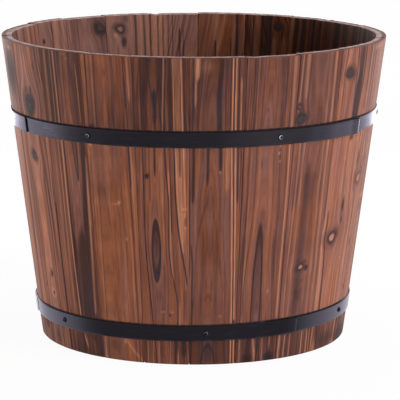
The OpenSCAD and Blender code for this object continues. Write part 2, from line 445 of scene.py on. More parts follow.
def build_wood_group():
    """Burnt softwood. Ring and Along are in millimetres. Tone is 0 for a middle brown, less for a
    darker board and more for a paler one. Warmth goes the same way from mauve to orange. Figure
    scales how much the grain shows, and Char and Ridge run from 0 to 1. Height comes out in
    millimetres."""
    inputs = dict.fromkeys(("Ring", "Along", "Tone", "Warmth", "Figure", "Char", "Ridge"), 0.0)
    outputs = dict.fromkeys(("Roughness", "Height"), "NodeSocketFloat")
    group, given, out = node_group(
        "burnt_softwood", {**inputs, "Figure": 1.0}, {"Color": "NodeSocketColor", **outputs}
    )
    ring, along, figure = given["Ring"], given["Along"], given["Figure"]

    def streaks(across_size, along_size, depth, detail=2.0, rough=0.5):
        """Noise from -1 to 1 with blotches of that size across the rings and along the board,
        in millimetres. Each depth gives another pattern."""
        across = maths(group, "DIVIDE", ring, across_size)
        length = maths(group, "DIVIDE", along, along_size)
        noise = stretched_noise(group, across, length, depth, detail, rough)
        return maths(group, "MULTIPLY_ADD", noise, 2.0, -1.0)

    bands = streaks(6.0, 300, 1.0)
    middles = streaks(2.4, 220, 3.0)
    lines = streaks(1.15, 150, 5.0, 2.0, 0.6)
    fibres = streaks(0.5, 30, 9.0, 2.0, 0.6)
    patches = streaks(16, 60, 13.0, 3.0)

    grain = weighed_sum(group, (bands, 0.42), (middles, 0.38), (lines, 0.42))
    grain = times(group, grain, figure)
    level = weighed_sum(group, (given["Tone"], 0.17), (patches, 0.16), start=grain)
    colour = blend(group, step_between(group, level, -0.38, 0.02), WOOD_DARK, WOOD_MIDDLE)
    colour = blend(group, step_between(group, level, -0.04, 0.36), colour, WOOD_PALE)

    years = maths(group, "DIVIDE", ring, YEAR)
    years = weighed_sum(group, (streaks(10, 400, 21.0, 1.0), 1.5), start=years)
    part = maths(group, "FRACT", years)
    rising = step_between(group, part, 0.4, 0.93)
    falling = step_between(group, part, 0.94, 1.0, 1.0, 0.0)
    strength = step_between(group, streaks(3.6, 500, 25.0, 1.0), -0.2, 0.32)
    late = times(group, times(group, rising, falling), strength)
    late = maths(group, "MULTIPLY", late, figure, clamp=True)
    colour = blend(group, times(group, late, 0.6), colour, WOOD_DARK)

    mood = weighed_sum(group, (streaks(3.0, 110, 17.0), 1.3), start=0.5)
    mood = maths(group, "MULTIPLY_ADD", given["Warmth"], 0.5, mood, clamp=True)
    colour = blend(group, 1.0, colour, blend(group, mood, MAUVE, ORANGE), "MULTIPLY")

    broken = step_between(group, streaks(0.8, 60, 31.0), -0.4, 0.1, 0.55, 1.0)
    colour = blend(group, times(group, given["Ridge"], broken), colour, WOOD_RIDGE)

    frayed = weighed_sum(group, (lines, 0.45), start=given["Char"])
    smoke = times(group, step_between(group, frayed, 0.1, 0.85), 0.9)
    smoke = times(group, smoke, step_between(group, given["Char"], 0.0, 0.2))
    char_mood = step_between(group, streaks(4.0, 90, 37.0), -0.25, 0.3)
    colour = blend(group, smoke, colour, blend(group, char_mood, CHAR_COOL, CHAR_WARM))

    weave = weighed_sum(group, (fibres, 0.6), start=1.0)
    grey = group.nodes.new("ShaderNodeCombineColor")
    for socket in grey.inputs[:3]:
        feed(group, socket, weave)
    feed(group, out["Color"], blend(group, 1.0, colour, grey.outputs[0], "MULTIPLY"))
    feed(group, out["Roughness"], weighed_sum(group, (smoke, 0.12), (fibres, 0.06), start=0.55))
    feed(group, out["Height"], weighed_sum(group, (late, 0.22), (fibres, 0.08), (lines, 0.08)))
    return group


wood_group = build_wood_group()
print("wood group has", len(wood_group.nodes), "nodes")

# %% [markdown]
# A stave shows more than its grain. Its ends are sawn across the fibres and stay pale but for a
# scorched outer edge. A knot has a dark ring, a mottled inside that may have a pale heart, and a
# scorched halo. These could be separate pieces, but they are one with the board, so the mesh
# carries how far each point is from the nearest knot, and the material draws the knot from that.

# %% Stave material
# Char past 1 takes this colour: scorched smudges, and the painted shade line above the hoops
SOOT_AND_SHADE = written(16, 10, 9)
END_SCORCHED = written(116, 78, 66)
END_LINE = written(80, 52, 44)
END_PALE = written(236, 200, 194)
WOOD_GLOSS = 0.08

stave_wood, tree, shader = new_material("burnt_wood")
grain, marks, knots, board = (attribute(tree, name) for name in ("grain", "marks", "knots", "board"))
wood = place_group(
    tree, wood_group, Ring=grain[0], Along=grain[1], Tone=grain[2], Warmth=board[0], Figure=board[1],
    Char=marks[0], Ridge=marks[1],
)

knot_way, knot_dark, knot_pale = knots
across, along = times(tree, knot_way, 4.0), maths(tree, "DIVIDE", grain[1], 2.5)
swirl = stretched_noise(tree, across, along, 3.0, 3.0)
ash = blend(tree, step_between(tree, swirl, 0.42, 0.72), KNOT_DARK, KNOT_ASH)
knot_colour = blend(tree, step_between(tree, knot_way, 0.55, 0.95, 1.0, 0.0), KNOT_DARK, ash)
pale_heart = blend(tree, step_between(tree, swirl, 0.5, 0.75, 0.0, 0.6), KNOT_PALE, CHAR_WARM)
in_heart = times(tree, step_between(tree, knot_way, 0.24, 0.56, 1.0, 0.0), knot_pale)
in_knot = times(tree, step_between(tree, knot_way, 0.6, 1.12, 1.0, 0.0), knot_dark)
in_halo = times(tree, step_between(tree, knot_way, 0.9, 1.7, 0.5, 0.0), knot_dark)
end_streak = stretched_noise(tree, maths(tree, "DIVIDE", grain[0], 1.3), 0.0, 41.0)
end_colour = blend(tree, step_between(tree, end_streak, 0.4, 0.7), END_SCORCHED, END_LINE)

colour = wood["Color"]
for share, over in (
    (in_halo, WOOD_DARK),
    (in_knot, blend(tree, in_heart, knot_colour, pale_heart)),
    # char past 1: scorched smudges, and the painted shade line just above the hoops
    (maths(tree, "SUBTRACT", marks[0], 1.0, clamp=True), SOOT_AND_SHADE),
    (times(tree, marks[2], 0.9), end_colour),
    (board[2], END_PALE),
):
    colour = blend(tree, share, colour, over)
feed(tree, shader["Base Color"], colour)
feed(tree, shader["Roughness"], wood["Roughness"])
shader["Specular IOR Level"].default_value = WOOD_GLOSS
bump(tree, wood["Height"], shader["Normal"], 0.6)
print("stave wood ready")

# %% [markdown]
# ## The staves
#
# A stave is a straight board whose two faces are rounded to the planter's circle and whose long
# edges are cut to point at the planter's middle. It could be a box with bevels, but its width
# changes all the way up. So the mesh is a loop of points carried upwards: the outer face, a
# rounded edge, a side, the inner face and the way back. At each end the loop closes in on the
# board's middle line, and that makes the end face.

# %% Sizes of the staves
STAVE_COUNT = 22
STAVE_TURN = 2 * math.pi / STAVE_COUNT
FIRST_SEAM = math.radians(-1.3)
FOOT_RADIUS = 180.0
RIM_RADIUS = 225.5
TALL = 355.0
BOARD = 12.0
SEAM_GAP = 0.2
EDGE_ROUND = 0.9
LEAN = math.atan((RIM_RADIUS - FOOT_RADIUS) / TALL)


def outer_radius(height):
    """Distance of the staves' outer faces from the axis, growing evenly with height."""
    return FOOT_RADIUS + (RIM_RADIUS - FOOT_RADIUS) * height / TALL


def stave_half_width(height, depth):
    """Half the width of a stave along the circle at a depth behind its outer face: half its
    share of the circle, less half a seam's gap."""
    radius = outer_radius(height) - depth / math.cos(LEAN)
    return radius * STAVE_TURN / 2 - SEAM_GAP / 2


# %% The loop round a stave
FACE_COLUMNS = 76
FACE_SHARES = np.linspace(-1, 1, FACE_COLUMNS)
ARC = np.radians([0, 30, 60, 90])
SIDE_DEPTHS = np.array([3.0, 6.0, 9.0])


def stave_loop():
    """Three numbers for each column of the loop: share of the half width that the column takes,
    millimetres added beyond that share, and depth behind the outer face. A rounded edge is a
    quarter circle about a centre one radius in from both faces."""
    r = EDGE_ROUND
    arc_out = r * np.sin(ARC)
    arc_deep = r - r * np.cos(ARC)
    share = [FACE_SHARES, np.ones(3), np.ones(3), np.ones(3)]
    extra = [FACE_SHARES * 0, arc_out[1:], np.full(3, r), arc_out[:0:-1]]
    depth = [FACE_SHARES * 0, arc_deep[1:], SIDE_DEPTHS, BOARD - arc_deep[:0:-1]]
    half = [np.concatenate(part) for part in (share, extra, depth)]
    back = [half[0] * -1, half[1] * -1, BOARD - half[2]]
    return [np.concatenate(pair) for pair in zip(half, back)]


LOOP_SHARE, LOOP_EXTRA, LOOP_DEPTH = stave_loop()
print("a stave's loop has", len(LOOP_SHARE), "points")

# %% [markdown]
# ## What each board shows
#
# The boards in view each have marks of their own, and a maker would know them by these. Noise
# alone can't give them, so they are written down as a short list for each board, in millimetres
# from the board's middle (more towards the right) and above the ground.
#
# - A char streak or a bright brushed ridge follows the grain through a few points.
# - A flame is where the saw cut the top of a ring: a tall arch or a long oval with a dark edge.
# - A pale ring is a small brushed oval, and a knot is where a branch grew. The grain flows round
#   a knot as water flows round a post.
# - A smudge is a scorched spot and a scratch is a bare one; one smudge on board 4 is a painted shadow.

# %% Marks of the boards in view
# tone: 0 for a middle brown, less for a darker board and more for a paler one
# warmth: 0 for a plain brown, less towards mauve and more towards orange
# figure: how much the grain shows
# ends: what the tone changes by above the upper hoop and below the lower one, a painted shade
# pith: (height, across, depth of the tree's middle behind the face), from the ground up
# char and ridges: (width, strength, (height, across), ...) from the ground up, or for a straight
#     one (width, strength, zone, across at its foot, across at its top if that differs)
# flames and pale_rings: (across, height, half width, half height, share of the edge, strength)
# knots: (across, height, half width, half height, darkness, paleness of the heart)
# smudges and scratches: (across, height, half width, half height, strength)
WHOLE, TOP, MIDDLE, FOOT = (-20, 380), (256, 380), (36, 262), (-20, 34)
OUTSIDE = {
    18: dict(
        tone=1.15, ends=(-1.7, -1.5), warmth=-0.1, figure=0.8, pith=[(0, -70, 30), (355, -74, 30)],
        char=[(7.5, 0.6, (-20, 6), (63, 11), (126, 15), (167, 18.5), (250, 21), (268, 21.4))],
        smudges=[(8, 318, 27, 32, 0.75), (21, 22, 8, 9, 0.7), (-10, 8, 16, 14, 0.4)],
        scratches=[(15, 346, 8, 2.2, 0.7)]
    ),
    19: dict(
        tone=0.25, ends=(-0.3, -1.2), warmth=0.1, figure=1.4, pith=[(0, -2, 16), (355, -6, 18)],
        char=[(1.8, 0.75, (266, 20), (290, 20.4), (306, 20.6), (318, 17.8), (335, 16), (380, 15.6)),
            (1.6, 0.4, (266, 27), (320, 25.4), (380, 25)),
            (2.2, 0.6, (100, 19.6), (114, 20), (139, 18.8), (173, 16.9), (206, 15), (250, 12.3),
             (266, 12)),
            (2.6, 0.8, (28, 25.3), (80, 26), (130, 27), (180, 28)), (3, 0.3, (100, -16), (250, -15.5)),
            (3, 0.5, (262, -27), (288, -25), (318, -20.5), (380, -19.5)), (3, 0.8, FOOT, 24.6)],
        ridges=[(2, 0.35, (110, 23), (150, 23), (190, 20), (249, 17)), (6, 0.35, (-20, 16), (30, 16))],
        flames=[(2, 58, 10.5, 34, 0.3, 0.4)], pale_rings=[(0.7, 64.3, 4.2, 4.8, 0.26, 1)],
        knots=[(-2.2, 286, 12, 16, 0.95, 0.05), (-6.5, 226.5, 8, 8, 0.85, 0.1)],
        smudges=[(-7, 303, 2, 5, 0.9), (4.2, 303.5, 2.2, 6, 0.9), (-15.5, 72, 2.4, 4, 0.6),
            (0.7, 64.3, 2.2, 1.8, 0.95), (1.3, 87.5, 3.2, 4.6, 0.8), (2, 62, 8.5, 24, 0.3),
            (15.2, 330, 1.6, 8, 0.5), (0, 12, 10, 16, 0.45)]
    ),
    20: dict(
        tone=-0.85, ends=(-1, -0.9), warmth=0.35, figure=0.9, pith=[(0, 8, 16), (355, 8, 18)],
        char=[(5, 0.55, TOP, -16.8), (1.3, 0.6, TOP, -11.6), (2, 0.85, TOP, -5.2, -5.4),
            (1.3, 0.6, (256, 4.4), (300, 5.5), (380, 6.5)), (6, 0.45, (256, 18), (313, 17.5), (342, 18)),
            (1.3, 0.55, (-20, -25), (266, -25.2)), (1.4, 0.5, (-20, -15.4), (266, -15.6)),
            (1.2, 0.45, (60, -10.6), (266, -10.6)),
            (2, 0.9, (-20, -1), (50, -2.2), (100, -3.8), (150, -4), (250, -3.8), (266, -3.6)),
            (4.4, 0.7, (106, -1.6), (127, -2), (150, -2.4)),
            (20, 0.85, (8, 8), (50, 8.6), (100, 9), (130, 10), (165, 13)),
            (17, 0.4, (80, 8.6), (110, 9), (165, 10)),
            (7.6, 0.75, (100, 15.5), (123, 16), (148, 17), (173, 18.8), (206, 22), (250, 24.6),
             (270, 25.6)),
            (2.2, 0.8, (203, 13.4), (225, 11), (250, 9.4), (268, 8.4)),
            (2.2, 0.8, (203, 13.4), (225, 14.6), (250, 15.6), (268, 16.4)),
            (4.6, 0.5, (212, 13), (266, 12.4)),
            (1.4, 0.75, (-20, 24), (50, 24.4), (123, 25.6), (160, 26.4)), (2.6, 0.7, FOOT, 23),
            (6, 0.4, (-20, -9), (32, -9))],
        ridges=[(1.6, 0.85, (6, 6.4), (12, 3), (18, 0), (25, -2.4), (50, -3.9), (100, -6.2), (150, -7),
              (181, -7.4), (250, -6.8), (266, -7)),
            (1.7, 0.6, TOP, -7.6, -8), (1.2, 0.35, TOP, -13.4), (3.4, 0.3, TOP, -22.4),
            (2.4, 0.3, (48, -20), (266, -20)), (1.4, 0.3, (48, -13.2), (266, -13.2)),
            (2.6, 0.6, (48, 19.3), (72, 20.5), (106, 21.8), (139, 23.4), (173, 24.9), (240, 27)),
            (1.3, 0.45, (270, 25.2), (325, 25.2), (345, 24))],
        smudges=[(4.9, 97, 2.2, 3, 1.1), (15, 22, 6, 6, 0.5)],
        scratches=[(13.6, 118, 1.4, 1.2, 0.6), (13, 112, 1, 1.4, 0.4), (7.4, 139, 1.2, 1.4, 0.3),
            (8, 352, 4, 1.2, 0.35), (12.7, 346, 1.8, 1.6, 0.35)]
    ),
    21: dict(
        tone=0.75, ends=(-1.4, -0.3), warmth=0.6, figure=0.6, pith=[(0, -12, 70), (355, -16, 70)],
        char=[(1.4, 0.8, TOP, -24.8, -25), (1.8, 0.7, (256, -14.6), (300, -14.4), (380, -13.4)),
            (1, 0.5, TOP, -20),
            (1.2, 0.75, (-20, -17.6), (100, -18), (186, -17.6), (226, -16.6), (266, -16.4)),
            (2.4, 0.9, (200, 22.4), (230, 22.6), (266, 22.4)),
            (2.4, 0.6, (-20, 21.4), (100, 21.6), (200, 22), (215, 22)),
            (3.6, 0.4, (48, 21.8), (120, 21.6)), (3.8, 0.6, (290, 22.6), (313, 22.4), (335, 22)),
            (1.5, 0.8, (256, 23.4), (300, 23), (330, 22), (380, 21.6)),
            (1.2, 0.6, (-20, -25), (266, -25.6)), (1.6, 0.8, (-20, 24.6), (32, 24.6))],
        ridges=[(1.8, 0.3, (48, -19.6), (170, -20), (200, -20.4)), (1.2, 0.4, (266, -16.8), (380, -17.4)),
            (1.4, 0.4, (48, 24.6), (266, 24.8)), (2.2, 0.45, (300, 27), (380, 26.6)),
            (1.8, 0.5, (-20, -22), (32, -22)),
            (2.2, 0.6, (-8, 31), (6, 22), (15, 12), (22, 5.4), (34, 2))],
        smudges=[(-21.7, 272, 5, 4, 0.9), (-1, 334, 3, 5, 0.3), (3.4, 306, 3, 5, 0.25),
            (4, 245, 12, 8, 0.25), (-9, 18, 6, 9, 0.4)],
        scratches=[(1, 185.4, 3, 0.7, 0.45), (4.8, 186, 2.6, 0.9, 0.8), (7.2, 187.4, 1.8, 0.9, 0.8),
            (9, 188.8, 1.2, 0.8, 0.5), (14, 145.6, 1.8, 1.8, 0.5), (4.5, 23.5, 1.6, 2.4, 0.7),
            (-25.5, 252, 2, 1.6, 0.9), (-26.2, 241, 1.4, 1.2, 0.7)]
    ),
    22: dict(
        tone=0.3, ends=(-1.7, -1.2), warmth=0.2, figure=0.8,
        pith=[(0, -4, 16), (133, -9, 14), (355, -8, 16)],
        char=[(1.4, 0.9, (-20, -9), (48, -13.9), (76, -16.3), (98, -18), (114, -19.5), (139, -20.7),
              (173, -21.4), (250, -21.6), (300, -22), (380, -22.8)),
            (1.6, 0.55, (186, -14.2), (266, -14.4)), (2.2, 0.85, (216, -8.3), (240, -8.2), (268, -8)),
            (1.6, 0.9, (266, -7), (299, -7), (311, -9.5), (323, -12.2), (353, -15), (380, -16)),
            (1.6, 0.9, (290, -6), (305, -5.2), (320, -3.4), (328, -1.5), (349, 2), (380, 4)),
            (4.6, 0.95, (276, -7), (300, -7), (322, -7)),
            (1.4, 0.9, (-20, 9), (48, 13.6), (63, 14.9), (73, 14.6), (88, 12.4), (98, 10.5), (113, 7.4),
             (131, 5.5), (156, 6.1), (189, 6.8), (214, 4.9), (231, 4.2), (250, 3.4), (275, 2.8),
             (290, 3.8), (320, 5), (338, 5.8), (380, 7)),
            (1.3, 0.8, (150, 9.6), (190, 9.2), (250, 8.2), (266, 8)),
            (4.6, 0.7, (266, 10.6), (380, 10.8)),
            (1.7, 0.9, (90, 26), (109, 23.7), (129, 20.5), (149, 17.4), (173, 15.6), (200, 14),
             (266, 13.6)),
            (4, 0.55, (215, 20), (266, 20)), (1.2, 0.7, TOP, 25.7),
            (7, 0.4, (44, 22), (70, 22.4), (95, 24)), (1.2, 0.6, FOOT, -23), (1.2, 0.6, FOOT, -5),
            (2.4, 0.75, FOOT, 10.4), (7, 0.8, (4, 20), (20, 20.4), (40, 20.6))],
        ridges=[(1.3, 0.7, (95, 10.6), (120, 8.2), (160, 7.6), (200, 7.8), (230, 6.4)),
            (2, 0.9, (128, 22.4), (148, 20), (173, 17.6), (206, 16.2), (250, 15.4), (266, 15)),
            (5.4, 0.5, (140, 22), (170, 20.4), (210, 19.6), (262, 19.4)),
            (1.5, 0.9, (176, 25), (215, 24.4), (266, 23.8)), (1.3, 0.6, TOP, 14.2, 14.4),
            (1.5, 0.8, TOP, 23.4, 23.2), (7, 0.3, TOP, 18.4),
            (1.4, 0.5, (266, 1.4), (300, 2), (340, 4), (380, 5)), (1.8, 0.45, (40, 16), (76, 16.4)),
            (3.2, 0.25, (115, 0), (250, -1)), (1, 0.5, FOOT, -20.6, -20.8), (1, 0.45, FOOT, -14.4, -14.6),
            (1, 0.5, FOOT, -8), (1, 0.5, FOOT, 5), (1.2, 0.6, (-20, 13.6), (20, 13.8))],
        flames=[(-8.6, 133.5, 5, 34, 0.5, 1)],
        smudges=[(-17.6, 220, 3.8, 3.2, 0.95), (-9, 108, 3.4, 6, 0.5), (-9, 160, 3, 8, 0.5),
            (25.5, 168, 1.6, 9, 0.5), (-8.6, 140, 4.2, 27, 0.62), (5.5, 58.5, 1.8, 2.2, 0.8)],
        scratches=[(23.2, 182.7, 3.4, 1.2, 1), (24.4, 161, 1.5, 1.6, 1), (22.4, 172, 1, 8, 0.8),
            (21, 187, 1.2, 4, 0.9), (24.2, 176, 1, 3, 0.9), (20.6, 196, 0.9, 7, 0.7),
            (-2.5, 62.7, 2.6, 1.2, 0.35), (8, 62.7, 1.6, 1.2, 0.45)]
    ),
    1: dict(
        tone=-0.45, ends=(-0.55, -1), warmth=0, figure=0.6,
        pith=[(0, -5, 18), (190, -6, 18), (355, -4, 22)],
        char=[(5.6, 0.95, (256, 3), (290, 2.4), (310, 1), (328, 2.6), (345, 4), (380, 4.6)),
            (1.2, 0.7, TOP, 14.2), (1.3, 0.9, TOP, 18.2, 18.3), (3, 0.75, TOP, 23.4),
            (2, 0.6, (268, -21.2), (300, -21.3), (334, -21)), (1.6, 0.7, TOP, -27.4, -27),
            (3.8, 0.75, (186, -25.2), (206, -25), (266, -25)),
            (3.6, 0.8, (206, -9.2), (230, -9.2), (266, -9.4)), (8, 0.3, (176, -9.6), (215, -9.4)),
            (2.4, 0.5, (60, -23), (107, -20.8), (123, -20.6), (148, -19.4), (166, -16.2), (184, -11.8),
             (196, -9)),
            (3.2, 0.35, (80, 13), (106, 8.2), (131, 5), (163, 1.3), (186, -4)),
            (1.3, 0.5, (-20, 15), (50, 13.7), (89, 13.2), (140, 10), (222, 9.4), (256, 8.6)),
            (1, 0.9, (-20, 22), (50, 22.6), (90, 22), (139, 21.3), (200, 20), (248, 18.8), (266, 18.4)),
            (2, 0.8, (60, -24), (123, -24.3), (146, -27)),
            (1.8, 0.9, (-20, -24.4), (48, -23.8), (81, -23.7)),
            (2.6, 0.7, (186, 24.6), (210, 24.2), (266, 23.8)), (4.4, 0.9, (222, 4.8), (266, 4))],
        ridges=[(4.6, 0.8, (326, -23), (345, -22.6), (380, -22.6)),
            (1.8, 0.55, (296, -24.4), (320, -24.2), (345, -24)),
            (1.3, 0.95, (-20, 21), (48, 21), (89, 20.4), (139, 19.4), (189, 18.4), (250, 16.6),
             (300, 16.6), (380, 16.8)),
            (1.4, 0.85, (-20, 24.6), (100, 23.4), (173, 22.5), (250, 21), (300, 20), (380, 20.2)),
            (6, 0.3, (200, 12), (266, 12)), (1.4, 0.6, (256, 26.4), (335, 26.2)),
            (1.4, 0.45, (40, -27), (110, -27))],
        flames=[(-5.2, -4, 8.2, 28, 0.18, 0.8), (-6, 40, 6, 44, 0.1, 0.25)],
        smudges=[(23.8, 50, 2.2, 3, 0.9), (-5, 10, 6, 12, 0.35), (9, 345, 5, 9, 0.4),
            (-11.8, 186, 2, 3, 0.4), (-10, 300, 12, 30, 0.15)],
        scratches=[(-12, 345, 9, 8, 0.15), (5, 226, 1.4, 1.4, 0.7), (11.3, 248, 1.6, 1.3, 0.6),
            (8.2, 57.7, 1.5, 1.3, 0.35)]
    ),
    2: dict(
        tone=-0.4, ends=(-0.6, -1.1), warmth=-0.1, figure=0.55, pith=[(0, -4, 16), (355, -3, 20)],
        char=[(1.4, 0.6, TOP, -25.4), (1.3, 0.5, TOP, -19.4, -19.6), (1.2, 0.4, TOP, -11),
            (1.3, 0.4, (300, 10.4), (340, 10.4)), (1.2, 0.4, (256, 15.5), (330, 15.5)),
            (1.3, 0.6, (-20, -22), (123, -22.8), (266, -23)),
            (1.6, 0.6, (48, -20.6), (98, -20), (123, -18.2), (150, -16), (170, -14.8), (266, -14.6)),
            (1.6, 0.4, (100, 8), (160, 8), (170, 8)), (1.3, 0.5, (170, 14.3), (210, 14.3), (250, 14.4)),
            (1.4, 0.4, (-20, 20), (262, 19.5)), (1.3, 0.7, (-20, 26.6), (100, 27), (160, 27.2)),
            (1.3, 0.9, (-20, 6), (6, 4), (26, 0.6), (34, 0)),
            (9, 0.7, (-10, -12), (14, -11.5), (40, -10))],
        ridges=[(1.8, 0.6, (48, 23), (73, 23.2), (139, 24.3), (198, 25.5), (266, 25.8)),
            (3, 0.3, TOP, 26.4), (1.3, 0.3, (-20, -20.6), (262, -20.6)), (1.2, 0.3, TOP, -17.8),
            (2.6, 0.5, (-20, 0), (6, -1.6), (20, -4.6), (34, -6)), (2.4, 0.4, FOOT, -21),
            (1.6, 0.4, (-20, 8), (20, 6.6), (34, 6)), (1.4, 0.4, (12, 16), (34, 16))],
        flames=[(-4.4, 60, 5.8, 98, 0.26, 0.9)],
        smudges=[(-7.6, 233, 1.1, 8, 0.6), (-2.7, 148, 2.6, 9, 0.7), (-11.3, 4, 6, 9, 1.3),
            (15.8, 4, 7, 7, 1.4), (12, 346, 14, 7, 0.3), (-4.3, 294, 1.6, 4, 0.45), (8, 340, 8, 12, 0.15),
            (14, 239, 1.3, 4.6, 0.6)],
        scratches=[(13.6, 252.4, 2, 1.2, 0.8), (12.6, 243.5, 1.4, 1.2, 0.7), (14.3, 234, 1.2, 1.2, 0.5),
            (9.3, 83.5, 1.3, 2.4, 0.45)]
    ),
    3: dict(
        tone=-0.45, ends=(-0.9, -1.1), warmth=-0.4, figure=0.6, pith=[(0, -3, 60), (355, 0, 60)],
        char=[(1.4, 0.6, (290, -24.4), (320, -24.6), (380, -25.2)),
            (1.3, 0.75, (262, -16.4), (380, -16.4)), (16, 0.25, TOP, 0), (1.4, 0.45, TOP, 17.4, 17.6),
            (1.4, 0.5, TOP, 25), (1.4, 0.55, (170, -23), (210, -23.2), (266, -22.6)),
            (1.4, 0.5, (48, -20.6), (150, -19.6), (210, -18.2), (266, -17.6)),
            (13, 0.5, (36, -6), (150, -5.6), (200, -6), (240, -6)),
            (9, 0.45, (90, -6.6), (130, -6.6), (180, -6.6), (200, -6.6)), (1.4, 0.4, MIDDLE, 16.4, 16),
            (2, 0.3, MIDDLE, 8, 9), (1.4, 0.7, FOOT, -19.6), (3, 0.5, FOOT, -12), (1.6, 0.6, FOOT, -4),
            (3, 0.5, FOOT, 4), (1.6, 0.7, FOOT, 15.5)],
        ridges=[(3, 0.35, (300, -20), (380, -19.6)), (3, 0.25, TOP, 12.6), (3.2, 0.35, TOP, 21.4),
            (1.4, 0.4, TOP, -27.4), (1.8, 0.3, MIDDLE, -15, -14.6), (1.6, 0.3, MIDDLE, -21.6, -20.8),
            (2.4, 0.25, MIDDLE, 13, 13.4), (3.4, 0.35, MIDDLE, 21.4, 21), (2, 0.6, FOOT, -23),
            (1.4, 0.5, FOOT, -15.6), (1.2, 0.4, FOOT, -8), (1.6, 0.6, FOOT, 10.5), (1.4, 0.6, FOOT, 19),
            (1.2, 0.5, FOOT, 23)],
        knots=[(-22.6, 281, 9, 7.6, 0.95, 0.15), (-27, 295, 3.4, 4.4, 0.85, 0.5),
            (-2.5, 107, 6.6, 5.6, 0.85, 1)],
        smudges=[(6.3, 105, 3.4, 3.4, 0.9), (0, 90, 4.4, 1.2, 0.7), (-7, 115, 6, 6, 0.6),
            (2, 113, 5, 3.4, 0.5), (-5, 128, 5, 16, 0.5)],
        scratches=[(-0.4, 108.4, 2.4, 2.2, 0.95), (-4.4, 105.4, 2, 2, 0.85)]
    ),
    4: dict(
        tone=1.05, ends=(-0.6, -2.1), warmth=-0.1, figure=0.7, pith=[(0, -60, 30), (355, -62, 30)],
        char=[(1.6, 0.65, (262, -21.4), (315, -22.6), (380, -23.4)),
            (1.4, 0.4, (160, -21.5), (190, -22), (266, -22.6)),
            (3.2, 0.75, (-20, -13), (48, -16.2), (98, -17.6), (123, -19.5), (148, -20.7), (172, -22)),
            (2.6, 0.7, (256, 4), (282, 2), (300, 0.6), (316, -0.2), (380, -1.6)),
            (2.8, 0.75, (256, 12), (288, 14.4), (306, 17.4), (320, 18.4), (380, 17.4)),
            (15, 0.9, (240, 7), (300, 8.2), (345, 9.5)), (17, 0.75, (305, 9), (380, 9.5))],
        ridges=[(2.2, 0.35, (-20, -23), (150, -26), (380, -25))],
        knots=[(-13.4, 326.5, 9.4, 8, 0.95, 0.2), (-9, 134.7, 11, 10.2, 0.9, 1)],
        # painted shadow: the smudge 7 mm across and 250 mm up, under the curled end of a strap
        smudges=[(8, 272, 6, 8, 0.55), (7, 250, 5, 4.4, 0.7), (20.5, 250, 3, 2.6, 0.5),
            (7.4, 170, 3.4, 10, 0.8), (7.6, 153, 2.2, 6, 0.8), (0, 136, 5, 5, 0.4), (5, 10, 26, 13, 0.6)],
        scratches=[(-18.5, 5, 4, 9, 0.4), (22, 3, 4, 3, 0.4), (-2.6, 227, 3, 1.3, 0.4),
            (16.8, 106, 2.2, 1.4, 0.45), (24, 246, 4, 1.6, 0.4)]
    ),
    5: dict(
        tone=1.6, ends=(-0.9, -2.8), warmth=-0.5, figure=2, pith=[(0, -66, 30), (355, -64, 30)],
        char=[(3, 0.4, TOP, -10, -8), (2.6, 0.35, (-20, -20), (180, -19)),
            (2.4, 0.35, (30, -4), (120, -5))],
        ridges=[(2.4, 0.4, (-20, -24), (170, -25)), (2.4, 0.4, (20, 4), (160, 5))],
        knots=[(-16, 197, 12.5, 10, 0.62, 1)],
        smudges=[(-26, 222, 4, 14, 0.6), (-4, 215, 12, 10, 0.35), (-14, 121, 4, 8, 0.5),
            (-13, 67, 3.4, 5, 0.5), (0, 8, 30, 13, 0.6), (14, 158, 14, 8, 0.35)],
        scratches=[(14, 172, 16, 3.4, 0.5), (-6, 349, 14, 2.4, 0.4)]
    ),
}
print(len(OUTSIDE), "outer faces are described")

